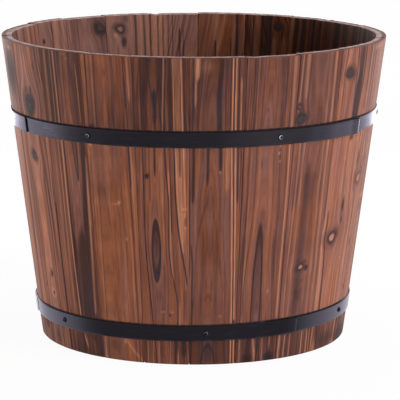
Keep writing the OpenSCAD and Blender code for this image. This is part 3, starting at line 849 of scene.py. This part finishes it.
# %% Marks of the inner faces in view
INSIDE = {
    16: dict(
        tone=2.9, warmth=-0.7, char=[(9, 0.5, WHOLE, 5), (3, 0.6, WHOLE, -15), (3, 0.5, WHOLE, -25)],
        ridges=[(5, 0.5, WHOLE, -8.6), (8, 0.35, WHOLE, 24)]
    ),
    15: dict(
        tone=3.3, warmth=-1.1,
        char=[(3.4, 0.4, WHOLE, -17.5), (3.6, 0.6, WHOLE, -3), (2.4, 0.5, WHOLE, 26)],
        ridges=[(3, 0.45, WHOLE, -23.5), (7, 0.5, WHOLE, -9.6)],
        smudges=[(15.7, 331, 3.6, 3.8, 0.95), (8, 340, 10, 20, 0.2)]
    ),
    14: dict(
        tone=2.1, warmth=-1.4, char=[(1.8, 0.5, (320, 11.2), (380, 11.2))],
        knots=[(-22, 340, 9.5, 9.5, 0.8, 0.35)], smudges=[(-20, 325, 12, 34, 0.3), (-8, 337, 3, 6, 0.3)]
    ),
    13: dict(
        tone=2.7, warmth=-1.4, pith=[(0, 11, 20), (355, 11, 20)],
        char=[(2.4, 0.65, WHOLE, -21.5), (3.4, 0.65, WHOLE, -10), (2.4, 0.4, (-20, 0), (322, -0.5))],
        ridges=[(4.5, 0.5, WHOLE, -25.5), (6.4, 0.5, WHOLE, -16), (3, 0.35, WHOLE, -4, -5)],
        knots=[(10, 337, 8, 7.6, 0.8, 0.9)],
        smudges=[(3, 350, 6, 9, 0.6), (6, 321, 5, 9, 0.8), (22, 335, 5, 20, 0.35),
            (14, 312, 2.4, 12, 0.5)],
        scratches=[(16.2, 329.5, 2.8, 3.6, 0.95)]
    ),
    12: dict(
        tone=3.5, warmth=-0.9,
        char=[(1.8, 0.6, WHOLE, 1.8), (1.8, 0.6, WHOLE, 7.2), (1.4, 0.7, WHOLE, 14),
            (1.4, 0.7, WHOLE, 20.4), (2, 0.7, (-20, -11.8), (338, -11.8)),
            (3, 0.7, (-20, -6.9), (340, -6.9))],
        ridges=[(2.2, 0.5, WHOLE, 11), (3.6, 0.6, WHOLE, 17), (6, 0.65, WHOLE, 24.5)]
    ),
    11: dict(
        tone=1, warmth=0.4,
        char=[(3.4, 1, WHOLE, -20), (2.4, 0.7, (-20, -12.2), (330, -12.2)),
            (2.6, 1, (-20, 7.4), (325, 7.2))],
        ridges=[(9, 0.35, (300, 6), (380, 6))]
    ),
    10: dict(
        tone=0, warmth=1.6,
        char=[(4, 1, WHOLE, -5), (4, 1, WHOLE, 6.5), (2, 0.8, WHOLE, 19, 18.5), (9, 0.7, WHOLE, 0),
            (3, 0.8, WHOLE, 27)],
        ridges=[(7, 0.5, (-20, -11), (333, -11)), (8, 0.35, WHOLE, 14), (6, 0.4, (-20, -24), (333, -24))],
        knots=[(-14.5, 341, 6, 6, 0.9, 0.15)]
    ),
    9: dict(
        tone=0.1, warmth=1.6,
        char=[(8, 0.8, WHOLE, 8.5), (6, 0.9, WHOLE, 19), (6, 0.7, WHOLE, -8), (5, 0.7, WHOLE, -20)],
        ridges=[(5, 0.5, WHOLE, 25.5)]
    ),
    8: dict(
        tone=0.2, warmth=0.8, char=[(12, 0.7, WHOLE, 10), (4, 0.6, WHOLE, -9)]
    ),
}
print(len(INSIDE), "inner faces are described")

# %% Ramps, bells, curves and ovals
def ramp(value, zero_at, one_at):
    """0 up to zero_at, then evenly to 1 at one_at, and 1 beyond. It falls if one_at is lower."""
    return np.clip((value - zero_at) / (one_at - zero_at), 0, 1)


def bell(value):
    """1 at zero, falling to both sides, and about a third at a distance of one."""
    return np.exp(-(value**2))


def smooth_curve(height, points):
    """A curve through a few (height, value) points without corners: the mean of the straight
    joins, sampled a little below and above."""
    at, value = np.array(points, float).T
    steps = np.linspace(-12, 12, 7)
    return sum(np.interp(height + step, at, value) for step in steps) / len(steps)


def oval_distance(across, height, centre, middle, half_width, half_height):
    """0 at the middle of an oval and 1 on its outline."""
    return np.hypot((across - centre) / half_width, (height - middle) / half_height)


print("a bell is", round(float(bell(1.0)), 2), "high at a distance of one")

# %% Streaks
def streak_points(path):
    """The (height, across) points of a streak, also of one that is written with a zone."""
    if isinstance(path[1], tuple):
        return path
    low, high = path[0]
    return (low, path[1]), (high, path[-1])


def streak_mark(across, height, width, points):
    """1 on the streak's own curve, falling to 0 over its width as a bell does. It narrows to a
    point over its first and last millimetres."""
    middle = smooth_curve(height, points)
    from_end = np.minimum(height - points[0][0], points[-1][0] - height)
    ends = ramp(from_end, 0, max(12.0, 2.5 * width))
    spread = width * np.sqrt(np.maximum(ends, 0.05)) * 0.56
    return np.exp(-(np.abs(across - middle) / spread) ** 2.4) * np.clip(2 * ends, 0, 1)


def strongest(across, height, streaks):
    """The strongest of several streaks at each point."""
    marks = [strength * streak_mark(across, height, width, streak_points(path))
             for width, strength, *path in streaks]
    return np.max([across * 0, *marks], axis=0)


# %% [markdown]
# The picture shows nine outer faces and nine inner ones. The others could be left with noise
# only, or repeat the nine, but a copy catches the eye. So each gets streaks, flames and knots of
# the same kinds, drawn from random numbers that are the same each time.

# %% Boards out of view
def drawn_marks(rng):
    """Marks for a face that the picture doesn't show, drawn in the same manner: a middle for
    its rings, some streaks along the grain, and now and then a flame or a knot."""
    middle = rng.uniform(-40, 40)
    pith = [(h, middle + rng.normal(0, 2), 8 + abs(rng.normal(14, 8))) for h in range(0, 361, 60)]
    drawn = {"tone": rng.normal(0, 0.5), "pith": pith, "char": [], "ridges": []}
    for _ in range(rng.integers(7, 13)):
        place = rng.uniform(-26, 26)
        lean = rng.normal(0, 2)
        low = rng.choice([-20.0, rng.uniform(-80, 200)])
        kind = "ridges" if rng.random() < 0.45 else "char"
        width = rng.uniform(1.0, 2.0) if kind == "ridges" else rng.choice([1.1, 1.4, 3.0, 6.0])
        path = ((low, place), (low + 180, place + lean), (low + 400, place + 2 * lean))
        drawn[kind].append((width, rng.uniform(0.4, 0.9), *path))
    if rng.random() < 0.4:
        drawn["flames"] = [(rng.uniform(-12, 12), rng.uniform(0, 355), rng.uniform(4, 8),
                            rng.uniform(35, 90), 0.25, 0.8)]
    if rng.random() < 0.5:
        size = rng.uniform(3, 8)
        drawn["knots"] = [(rng.uniform(-20, 20), rng.uniform(60, 330), size, size * 1.2,
                           rng.uniform(0.6, 1.0), rng.uniform(0, 1))]
    return drawn


print("such a board has", len(drawn_marks(np.random.default_rng(0))["char"]), "char streaks")

# %% Grain and marks of one face
RING_APART = 700


def face_marks(number, marks, across, height, depth, rng):
    """Ring value, char, ridges, tone, warmth, figure and the nearest knot at every point of a
    board, for the marks of one face. The ring value is the distance, square to the trunk, from
    the tree's middle, which lies behind the board and wanders slowly. Each face has rings of its
    own. Near a knot, across is drawn towards the knot by the share one over the squared
    distance, which is how a stream parts at a post."""
    flowing = across.copy()
    knot = np.full((3, *across.shape), 3.0)
    knot[1:] = 0.0
    for *oval, darkness, pale in marks.get("knots", []):
        centre, middle, half_width, half_height = oval
        distance = oval_distance(across, height, *oval)
        around = np.arctan2((height - middle) / half_height, (across - centre) / half_width)
        wavy = 0.1 * np.sin(2 * around + centre) + 0.07 * np.sin(3 * around + middle)
        distance = distance * (1 + wavy)
        flowing = centre + (flowing - centre) * (1 - 1 / np.maximum(distance, 1.02) ** 2)
        this_knot = np.array([distance, distance * 0 + darkness, distance * 0 + pale**2])
        knot = np.where(distance < knot[0], this_knot, knot)
    pith = marks.get("pith", [(0, rng.uniform(-50, 50), 24), (355, rng.uniform(-50, 50), 24)])
    aside = smooth_curve(height, [(h, a) for h, a, _ in pith])
    behind = smooth_curve(height, [(h, b) for h, _, b in pith])
    waves = zip(rng.uniform(90, 240, 4), rng.uniform(0, 2 * math.pi, 4))
    waver = sum(0.35 * np.cos(2 * math.pi * height / length + phase) for length, phase in waves)
    ring = np.hypot(flowing - aside + waver, behind + depth)
    drawn_in = flowing * 0.3 + across * 0.7
    char, ridge = (strongest(drawn_in, height, marks.get(kind, [])) for kind in ("char", "ridges"))
    for *oval, edge, strength in marks.get("flames", []):
        distance = oval_distance(across, height, *oval)
        reach = np.where(distance < 1, edge, min(edge * 0.35, 0.12))
        char = np.maximum(char, strength * bell((distance - 1) / reach))
    ridge = ridge * ramp(knot[0], 0.9, 1.2)
    for *oval, edge, strength in marks.get("pale_rings", []):
        ridge = np.maximum(ridge, strength * bell((oval_distance(across, height, *oval) - 1) / edge))
    for kind, spots in ((char, "smudges"), (ridge, "scratches")):
        for *oval, strength in marks.get(spots, []):
            distance = oval_distance(across, height, *oval)
            np.maximum(kind, strength * np.exp(-(distance**2.5)), out=kind)
    # The board darkens above the upper hoop and below the lower one: painted shade on its ends.
    head, foot = marks.get("ends", (-0.9, -1.3))
    tone = marks.get("tone", 0.0) + head * ramp(height, 262, 274) + foot * ramp(height, 40, 28)
    warmth = marks.get("warmth", 0.0) + 0 * across
    figure = marks.get("figure", 1.0) + 0 * across
    return np.array([ring + RING_APART * number, char, ridge, tone, warmth, figure, *knot])


# %% [markdown]
# The mesh has real relief as well, because a bump alone looks flat from the side: char lies a
# little lower than the wood round it, knots are hollow at their rim, and the brushed rings stand
# as low waves. All of it goes inwards from the board's face, so the planter keeps its size.

# %% One stave as a surface
BODY_ROWS = 150
HOOP_TOPS = (271.0, 46.5)
CLOSING = np.array([1, 0.8, 0.6, 0.4, 0.2, 0.08])


def stave_rows(top):
    """Height, inset and closing share for each row: the end face closes in from the middle line,
    its edge is rounded over EDGE_ROUND, and the board rises between the ends. Rows lie closer
    together just above the hoops, where a thin line of painted shade runs along each strap's top."""
    round_up = np.radians([0, 30, 60])
    inset = EDGE_ROUND * (1 - np.sin(round_up))
    lift = EDGE_ROUND * (1 - np.cos(round_up))
    fine = [hoop_top + np.arange(-3.6, 6.1, 0.6) for hoop_top in HOOP_TOPS]
    body = np.sort(np.concatenate([np.linspace(EDGE_ROUND, top - EDGE_ROUND, BODY_ROWS), *fine]))
    height = np.concatenate([CLOSING * 0, lift, body, top - lift[::-1], CLOSING * 0 + top])
    insets = np.concatenate([CLOSING * 0 + EDGE_ROUND, inset, body * 0, inset[::-1],
                             CLOSING * 0 + EDGE_ROUND])
    close = np.concatenate([CLOSING, lift * 0, body * 0, lift * 0, CLOSING[::-1]])
    return height[:, None], insets[:, None], close[:, None]


def stave_surface(top):
    """Across, height and depth of a stave's grid. Along the loop, a point lies at share x
    (half width - rounding) + extra; rows near the ends are drawn in by their inset."""
    height, inset, close = stave_rows(top)
    depth = BOARD / 2 + (LOOP_DEPTH - BOARD / 2) * (1 - inset / (BOARD / 2)) * (1 - close)
    half = stave_half_width(height, depth)
    across = LOOP_SHARE * (half - EDGE_ROUND) + LOOP_EXTRA * (1 - close)
    across = across * (1 - inset / half)
    return across, height + 0 * across, depth


def stave_points(number, across, height, depth):
    """Points of a stave in the planter's frame: across is an arc's length along the circle that
    passes at that depth behind the outer face."""
    radius = outer_radius(height) - depth / math.cos(LEAN)
    turn = FIRST_SEAM + (number - 0.5) * STAVE_TURN + across / radius
    return np.stack([radius * np.sin(turn), -radius * np.cos(turn), height], -1)


def relief(ring, char, ridge, knot_way, knot_dark):
    """Depth below the planed face, in mm: waves with the rings, char sunk, ridges proud, and a
    hollow at the rim of a knot."""
    wave = 0.05 + 0.05 * np.cos(2 * math.pi * ring / YEAR)
    rim = 0.25 * knot_dark * bell((knot_way - 1) / 0.25)
    return np.clip(wave + 0.18 * np.minimum(char, 1) + rim - 0.1 * ridge, 0, 0.5)


# %% Painted shade above the hoops, chips and sawn ends
HOOP_TILTS = (0.3, 0.7)
HOOP_SHADE_DARK = (2, 1.6)
HOOP_SHADE_WIDE = 0.8
HOOP_SHADE_ABOVE = 0.5
# chips out of the tops: {stave: [(across, half width, depth), ...]}
TOP_CHIPS = {12: [(21.6, 4, 1.2)], 21: [(26, 2, 0.8)], 2: [(-18, 6, 0.5)], 9: [(-20, 6, 0.6)]}


def fade_at_sides(sine):
    """1 over the front and the back, and 0 at the planter's two sides, from the sine of the
    turn. Seen edge-on there, a dark line would show as a tooth in the outline."""
    return ramp(np.abs(sine), 0.97, 0.90)


def hoop_shade(number, across, height):
    """Painted shade just above each hoop, where the gap behind the strap's top edge lies dark: a
    thin bell over the height, which follows the hoop's tilt and is a little uneven across the board."""
    sine = np.sin(FIRST_SEAM + (number - 0.5) * STAVE_TURN + across / outer_radius(height))
    uneven = 0.86 + 0.14 * np.sin(across / 1.7 + number)
    shade_line = 0 * across
    for hoop_top, tilt, dark in zip(HOOP_TOPS, HOOP_TILTS, HOOP_SHADE_DARK):
        line = hoop_top + HOOP_SHADE_ABOVE + sine * outer_radius(hoop_top) * math.tan(math.radians(tilt))
        shade_line = np.maximum(shade_line, dark * bell((height - line) / HOOP_SHADE_WIDE))
    return shade_line * uneven * fade_at_sides(sine)


def top_drop(number, across):
    """How far the sawn top lies below the stave's full height: two waves, and a chip or two."""
    drop = 0.12 + 0.12 * np.sin(across / 3.1 + number) * np.cos(across / 1.3 + 2 * number)
    for at, wide, deep in TOP_CHIPS.get(number, []):
        drop = drop + deep * bell((across - at) / wide)
    return drop


def end_paleness(number, across, depth):
    """How pale a sawn end is: past its scorched outer edge, and uneven across the board."""
    uneven = 0.15 * np.sin(across / 2.3 + 3 * number) + 0.15 * np.sin(across / 5.9 + number**2)
    return ramp(depth, 4.5, 6.5) * (0.75 + uneven)


# %% Make the staves
STAVE_SEED = 40
INNER_FACES = 50
RELIEF_FADE = 2.5


def stave_piece(number):
    """One stave: the marks of both faces, then the painted shade above the hoops, the relief
    and the sawn ends.
    """
    node = f"stave_{number:02d}"
    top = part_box(node)[1].z / MM
    rng = np.random.default_rng(STAVE_SEED + number)
    across, height, depth = stave_surface(top)
    outside = OUTSIDE.get(number) or drawn_marks(rng)
    inside = INSIDE.get(number) or drawn_marks(rng)
    outer = face_marks(number, outside, across, height, depth, rng)
    inner = face_marks(number + INNER_FACES, inside, across, height, BOARD - depth, rng)
    is_inner = depth > BOARD / 2 + 1
    ring, char, ridge, tone, warmth, figure, way, dark, pale = np.where(is_inner, inner, outer)
    # the outer faces get a line of painted shade just above each hoop, carried with the char
    char = np.where(is_inner, char, np.maximum(char, hoop_shade(number, across, height)))
    on_face = ramp(np.minimum(depth, BOARD - depth), RELIEF_FADE, 0)
    sunk = relief(ring, char, ridge, way, dark) * on_face
    depth = depth + np.where(is_inner, -sunk, sunk)
    end = ramp(np.abs(height - top / 2) - top / 2, -0.75, -0.25)
    pale_end = end * end_paleness(number, across, depth)
    dropped = height - top_drop(number, across) * ramp(height, top - 4, top)
    extra = {
        "grain": np.stack([ring, height, tone], -1),
        "marks": np.stack([char * on_face, ridge * on_face, end], -1),
        "knots": np.stack([way, dark * on_face, pale], -1),
        "board": np.stack([warmth, figure, pale_end], -1),
    }
    parts = [(stave_points(number, across, dropped, depth), extra)]
    return grid_piece(f"{node}_wood", parts, stave_wood, [node])


staves = [stave_piece(number) for number in range(1, STAVE_COUNT + 1)]
print(len(staves), "staves of", len(staves[0].data.polygons), "faces")

# %% [markdown]
# ## The hoops
#
# Each hoop is three flat straps that lie close to the staves. Towards its outer end a strap rises
# by one thickness and laps over the start of the next. A spun ring would have no laps, so each
# strap is its section carried along a path. It leans with the staves, and its edges and end are
# slightly rounded, which is what catches the light along them. The end of the first upper strap
# stands off a little and curls back.

# %% Sizes of the hoops
STRAP_WIDE = 18.0
STRAP_THICK = 1.2
STRAP_ROOM = 0.25
LAP_LENGTH = 40.0
LAP_ROOM = 0.25
RISE_LENGTH = 34.0
END_ROUND = 0.7
CURL_LENGTH = 15.0
CURL_BACK = 0.45
# height and tilt of each hoop, then its straps: turn of the outer end, turns of the two screws,
# lift, how far the outer end stands off, and whether its cut end is bare steel
HOOPS = {
    "upper": (262.0, HOOP_TILTS[0], [
        (60, (-33, 26.5), 0.0, 1.9, True),
        (180, (87, 148), 0.8, 0, False),
        (298, (208, 267), 0.3, 0, False),
    ]),
    "lower": (37.5, HOOP_TILTS[1], [
        (39, (-52.5, 4.5), 0.0, 0, False),
        (159, (66, 127), 0.5, 0, False),
        (279, (186, 246), 0.3, 0, True),
    ]),
}


def ease(value, low, high):
    """A smooth step in numpy: 0 where value is under low, 1 where it is over high."""
    share = ramp(value, low, high)
    return share**2 * (3 - 2 * share)


class Strap:
    """One strap of a hoop: its turns in radians, and the path that it follows."""

    def __init__(self, hoop, k):
        self.height, self.tilt, straps = hoop
        end, screws, self.lift, self.stand_off, self.bare_end = straps[k]
        before = straps[k - 1][0] - (360 if k == 0 else 0)
        self.start = math.radians(before) - LAP_LENGTH / outer_radius(self.height)
        self.end = math.radians(end)
        self.screws = np.radians(screws)

    def from_end(self, turn):
        """Millimetres along the strap from a turn to its outer end."""
        return (self.end - turn) * outer_radius(self.height)

    def points(self, turn, up, depth):
        """Points at a turn, up from the strap's mid width and depth behind its outer face."""
        x = outer_radius(self.height) * np.sin(turn)
        z = self.height + self.lift + x * math.tan(math.radians(self.tilt)) + up
        left = self.from_end(turn)
        rise = 1 - ease(left, LAP_LENGTH + 4, LAP_LENGTH + 4 + RISE_LENGTH)
        curl = (1 - ease(left, 3.5, CURL_LENGTH)) - CURL_BACK * (1 - ease(left, 0, 4.5))
        gap = STRAP_ROOM + rise * (STRAP_THICK + LAP_ROOM) + curl * self.stand_off
        radius = outer_radius(z) + (gap + STRAP_THICK - depth) / math.cos(LEAN)
        return np.stack([radius * np.sin(turn), -radius * np.cos(turn), z + 0 * radius], -1)


straps = {f"{name}_strap_{k + 1}": Strap(hoop, k) for name, hoop in HOOPS.items() for k in range(3)}
print({name: round(math.degrees(strap.end - strap.start), 1) for name, strap in straps.items()})

# %% [markdown]
# The straps are painted black and slightly glossy. One dark colour would do from the front, but
# where the paint is seen aslant it mirrors the white room. So the facing angle paints the base
# colour paler and more like metal towards the sides, a painted reflection. Dust, scuffs and a
# rubbed lower edge break it up, and a line of painted shade darkens the upper edge and the
# ends that are not bare.

# %% Black paint
PAINT = (0.0036, 0.0030, 0.0058, 1)
SHEEN = (0.084, 0.079, 0.102, 1)
RUBBED = written(96, 92, 98)
STEEL = (0.62, 0.58, 0.62, 1)
EDGE_SHADE = (0.002, 0.0015, 0.0015, 1)
PAINT_TINT = (0.94, 0.9, 1.0, 1)

black_paint, tree, shader = new_material("black_paint")
along, up, edge = attribute(tree, "wear")
bare, edge_shade, _ = attribute(tree, "finish")
dust = stretched_noise(tree, maths(tree, "DIVIDE", along, 30), maths(tree, "DIVIDE", up, 4), 0.0, 4.0)
scuffs = stretched_noise(
    tree, maths(tree, "DIVIDE", along, 12), maths(tree, "DIVIDE", up, 0.8), 7.0, 3.0
)
rub = times(tree, edge, step_between(tree, scuffs, 0.42, 0.62))
facing = tree.nodes.new("ShaderNodeLayerWeight")
facing.inputs["Blend"].default_value = 0.5
aside = facing.outputs["Facing"]
colour = blend(tree, times(tree, step_between(tree, dust, 0.5, 0.8), 0.05), PAINT, RUBBED)
colour = blend(tree, times(tree, rub, 0.4), colour, RUBBED)
# painted reflection: seen aslant, the base colour turns pale like the white room mirrored in it
colour = blend(tree, step_between(tree, aside, 0.22, 0.56), colour, SHEEN)
# painted shade: the strap's upper edge and the ends that are not bare turn near black
colour = blend(tree, edge_shade, blend(tree, bare, colour, STEEL), EDGE_SHADE)
feed(tree, shader["Base Color"], colour)
metal = maths(tree, "MAXIMUM", step_between(tree, aside, 0.1, 0.5), bare)
feed(tree, shader["Metallic"], times(tree, metal, maths(tree, "SUBTRACT", 1.0, edge_shade)))
smooth = step_between(tree, aside, 0.3, 0.6, 0.0, 0.12)
rough = maths(tree, "SUBTRACT", step_between(tree, dust, 0.3, 0.8, 0.30, 0.37), smooth)
feed(tree, shader["Roughness"], maths(tree, "MULTIPLY_ADD", edge_shade, 0.6, rough, clamp=True))
shader["Specular IOR Level"].default_value = 0.16
shader["Specular Tint"].default_value = PAINT_TINT
bump(tree, scuffs, shader["Normal"], 0.05)
print("black paint ready")

# %% Straps as surfaces
STRAP_ROUND = 0.15
STRAP_ROWS = 180
HALF_WIDE = STRAP_WIDE / 2


def strap_loop():
    """Up and depth of the loop round a strap's section: the outer face from the lower edge to
    the upper edge, a rounded edge, and the inner face on the way back."""
    face = np.linspace(-1, 1, 11) * (HALF_WIDE - STRAP_ROUND)
    arc_out = HALF_WIDE - STRAP_ROUND + STRAP_ROUND * np.sin(ARC)
    arc_deep = STRAP_ROUND - STRAP_ROUND * np.cos(ARC)
    up = np.concatenate([face, arc_out[1:], arc_out[:0:-1]])
    depth = np.concatenate([face * 0, arc_deep[1:], STRAP_THICK - arc_deep[:0:-1]])
    return np.concatenate([up, -up]), np.concatenate([depth, STRAP_THICK - depth])


def strap_piece(name, strap):
    """One strap: its loop carried from the start to the outer end, whose outer edge is rounded
    by END_ROUND and which then closes. Slow hammered waves lift it by up to a tenth of a
    millimetre."""
    up, depth = strap_loop()
    tip = strap.end - END_ROUND * (1 - np.sin(ARC)) / outer_radius(strap.height)
    body = np.linspace(strap.start, tip[0], STRAP_ROWS)
    turn = np.concatenate([[strap.start] * 2, body, tip[1:], [strap.end] * 2])[:, None]
    shrink = [np.zeros(STRAP_ROWS + 2), 1 - np.cos(ARC[1:]), [1, 1]]
    worn = END_ROUND * np.concatenate(shrink)[:, None]
    close = np.concatenate([[1, 0.6], np.zeros(STRAP_ROWS + 3), [0.6, 1]])[:, None]
    depth = worn + depth * (1 - worn / STRAP_THICK)
    middle = (STRAP_THICK + worn) / 2
    deep = middle + (depth - middle) * (1 - close)
    rng = np.random.default_rng(len(name) + int(name[-1]))
    hammered = 0.1 * np.sin(turn * rng.uniform(9, 14) + rng.uniform(0, 6)) ** 2
    up = up + 0 * turn
    points = strap.points(turn, up, deep - hammered)
    wear = np.stack([turn * outer_radius(strap.height) + 0 * up, up, np.exp(-(HALF_WIDE + up) / 0.5)], -1)
    bare = np.where((worn > 0) & strap.bare_end, 1.0, 0.0) + 0 * up
    # a line of painted shade along the upper edge, and on the ends that are not bare
    edge_shade = ramp(up, HALF_WIDE - 0.35, HALF_WIDE - 0.15) * fade_at_sides(np.sin(turn))
    edge_shade = np.maximum(edge_shade, 0.7 * (worn > 0)) * (1 - bare)
    extra = {"wear": wear, "finish": np.stack([bare, edge_shade, 0 * edge_shade], -1)}
    return grid_piece(f"{name}_band", [(points, extra)], black_paint, [name])


bands = [strap_piece(name, strap) for name, strap in straps.items()]
print(len(bands), "straps of", len(bands[0].data.polygons), "faces")

# %% [markdown]
# ## The screws
#
# A round-headed screw is a turned shape, so its profile is spun about its own axis on the grid.
# The cross could be cut out of the head, but that leaves ragged faces. It is pressed in instead,
# by lowering the points that lie on either of its two bars.

# %% Screws of the hoops
HEAD_ROUND, HEAD_TALL, SHANK, SCREW_LONG = 3.5, 2.0, 1.5, 10.0
CROSS_HALF, CROSS_REACH, CROSS_DEEP = 0.45, 1.9, 1.1
SCREW_PAINT = (0.003, 0.0026, 0.0035, 1)


def screw_grid():
    """Radius round and height above the strap for a screw's grid. The head is part of a sphere,
    and the two bars of the cross are sunk into it with sloping walls."""
    sphere = (HEAD_ROUND**2 + HEAD_TALL**2) / (2 * HEAD_TALL)
    spokes = np.radians(np.arange(0, 360, 6))[None, :]
    out = np.concatenate([np.linspace(0, 2.1, 13), np.linspace(2.3, HEAD_ROUND, 8)])
    dome = HEAD_TALL - sphere + np.sqrt(sphere**2 - out**2)
    radius = np.concatenate([out, [HEAD_ROUND, SHANK, SHANK, SHANK * 0.6, 0]])[:, None]
    height = np.concatenate([dome * 0.94 + 0.06, [0, 0, 1.2 - SCREW_LONG, -SCREW_LONG, -SCREW_LONG]])
    x, y = radius * np.cos(spokes), radius * np.sin(spokes)
    off_bar = np.minimum(np.abs(x), np.abs(y))
    on_bar = ramp(off_bar, CROSS_HALF, CROSS_HALF - 0.25) * ramp(radius, CROSS_REACH, CROSS_REACH - 0.4)
    on_bar = on_bar * (height[:, None] > 0.5)
    return x, y, height[:, None] - CROSS_DEEP * on_bar, on_bar


def screw_frame(strap, turn):
    """Origin and three directions of a screw at a turn: across the strap, up it, and outwards."""
    here = strap.points(np.array(turn), 0.0, 0.0)
    lean = math.cos(LEAN)
    out = np.array([math.sin(turn) * lean, -math.cos(turn) * lean, -math.sin(LEAN)])
    side = np.array([math.cos(turn), math.sin(turn), 0.0])
    return here, side, np.cross(out, side), out


screw_black, tree, shader = new_material("screw_black")
speck = specks(tree, 900.0)
# painted highlight: the ring round the cross turns to speckled bare steel
highlight_specks = times(tree, attribute(tree, "wear")[2], step_between(tree, speck, 0.25, 0.55, 0.5, 1.0))
feed(tree, shader["Base Color"], blend(tree, highlight_specks, SCREW_PAINT, STEEL))
feed(tree, shader["Metallic"], highlight_specks)
feed(tree, shader["Roughness"], step_between(tree, speck, 0.3, 0.7, 0.2, 0.36))
shader["Specular IOR Level"].default_value = 0.08
print("screw black ready")

# %% Press and place the screws
# how bright the painted highlight ring round each screw's cross is, drawn as steel rubbed bare
SCREW_RING_HIGHLIGHTS = {
    "upper_strap_1": (0.6, 1.0), "upper_strap_2": (0.3, 0.4), "upper_strap_3": (0.3, 0.5),
    "lower_strap_1": (0.05, 0.25), "lower_strap_2": (0.0, 0.3), "lower_strap_3": (0.3, 0.4),
}
SPINS = 7.0
rng = np.random.default_rng(11)
x, y, z, on_bar = screw_grid()


def placed_screw(strap, turn, ring_highlight):
    """A screw's grid in the planter's frame, spun by some turns of its own, and its painted
    highlight ring round the cross, drawn as bare steel and brighter on one side."""
    here, side, upward, out = screw_frame(strap, turn)
    cos, sin = math.cos(turn * SPINS), math.sin(turn * SPINS)
    a, b = x * cos - y * sin, x * sin + y * cos
    grid = here + a[..., None] * side + b[..., None] * upward + z[..., None] * out
    one_side = 0.55 + 0.45 * np.cos(np.arctan2(b, a) - rng.uniform(0, 2 * math.pi))
    ring = bell((np.hypot(a, b) - CROSS_REACH) / 0.4) * one_side
    worn = ring_highlight * ring * (z > 0) * (1 - on_bar)
    return grid, {"wear": np.stack([a, b, worn], -1)}


for name in HOOPS:
    parts = [
        placed_screw(strap, turn, ring_highlight)
        for strap_name, strap in straps.items() if strap_name.startswith(name)
        for turn, ring_highlight in zip(strap.screws, SCREW_RING_HIGHLIGHTS[strap_name])
    ]
    grid_piece(f"{name}_hoop_screw_heads", parts, screw_black, [f"{name}_hoop_screws"])
print("screws on", len(HOOPS), "hoops")

# %% [markdown]
# ## The floor boards and battens
#
# These solids already have the right shape, so they stay and get a finish. Their meshes carry no
# attributes. Their grain runs along the boards, and the ring value is measured in Object
# coordinates from a tree's middle that lies below each board. The zinc of the batten screws is
# pale grey and slightly mottled.

# %% Floor wood
BOARD_SLOPE = 0.05
FLOOR_PITCH = 87
BATTENS_APART = 190


def plain_wood(name, ring_axis, grain_axis, middle, tone):
    """Wood for a solid: the ring value is the distance from the tree's middle, which lies that
    far beside and below the planter's origin, in millimetres, and slopes a little."""
    made, tree, shader = new_material(name)
    place = parts_of(tree, object_place(tree))
    aside = weighed_sum(tree, (place[ring_axis], 1000.0), start=middle[0])
    along = times(tree, place[grain_axis], 1000.0)
    under = weighed_sum(tree, (place[2], 1000.0), (along, BOARD_SLOPE), start=middle[1])
    ring = maths(tree, "SQRT", weighed_sum(tree, (under, under), (aside, aside)))
    wood = place_group(tree, wood_group, Ring=ring, Along=along, Tone=tone)
    feed(tree, shader["Base Color"], wood["Color"])
    feed(tree, shader["Roughness"], wood["Roughness"])
    shader["Specular IOR Level"].default_value = WOOD_GLOSS
    bump(tree, wood["Height"], shader["Normal"], 0.5)
    return made


def dress(node, material):
    """Gives a CAD node another material."""
    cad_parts[node].data.materials.clear()
    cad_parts[node].data.materials.append(material)


for k in range(1, 5):
    middle = (161.0 - FLOOR_PITCH * k, 15.0 + 6 * k)
    dress(f"floor_board_{k}", plain_wood(f"floor_wood_{k}", 0, 1, middle, 0.3))
for k, node in enumerate(("front_batten", "back_batten")):
    middle = (107.0 - BATTENS_APART * k, 30.0)
    dress(node, plain_wood(f"batten_wood_{k + 1}", 1, 0, middle, 0.8))

# %% Zinc
ZINC_DARK = written(150, 148, 140)
ZINC_PALE = written(200, 198, 190)

zinc, tree, shader = new_material("zinc")
speck = specks(tree, 700.0)
feed(tree, shader["Base Color"], blend(tree, speck, ZINC_DARK, ZINC_PALE))
shader["Metallic"].default_value = 0.9
feed(tree, shader["Roughness"], step_between(tree, speck, 0.3, 0.7, 0.3, 0.5))
dress("batten_screws", zinc)
print("floor, battens and their screws are dressed")
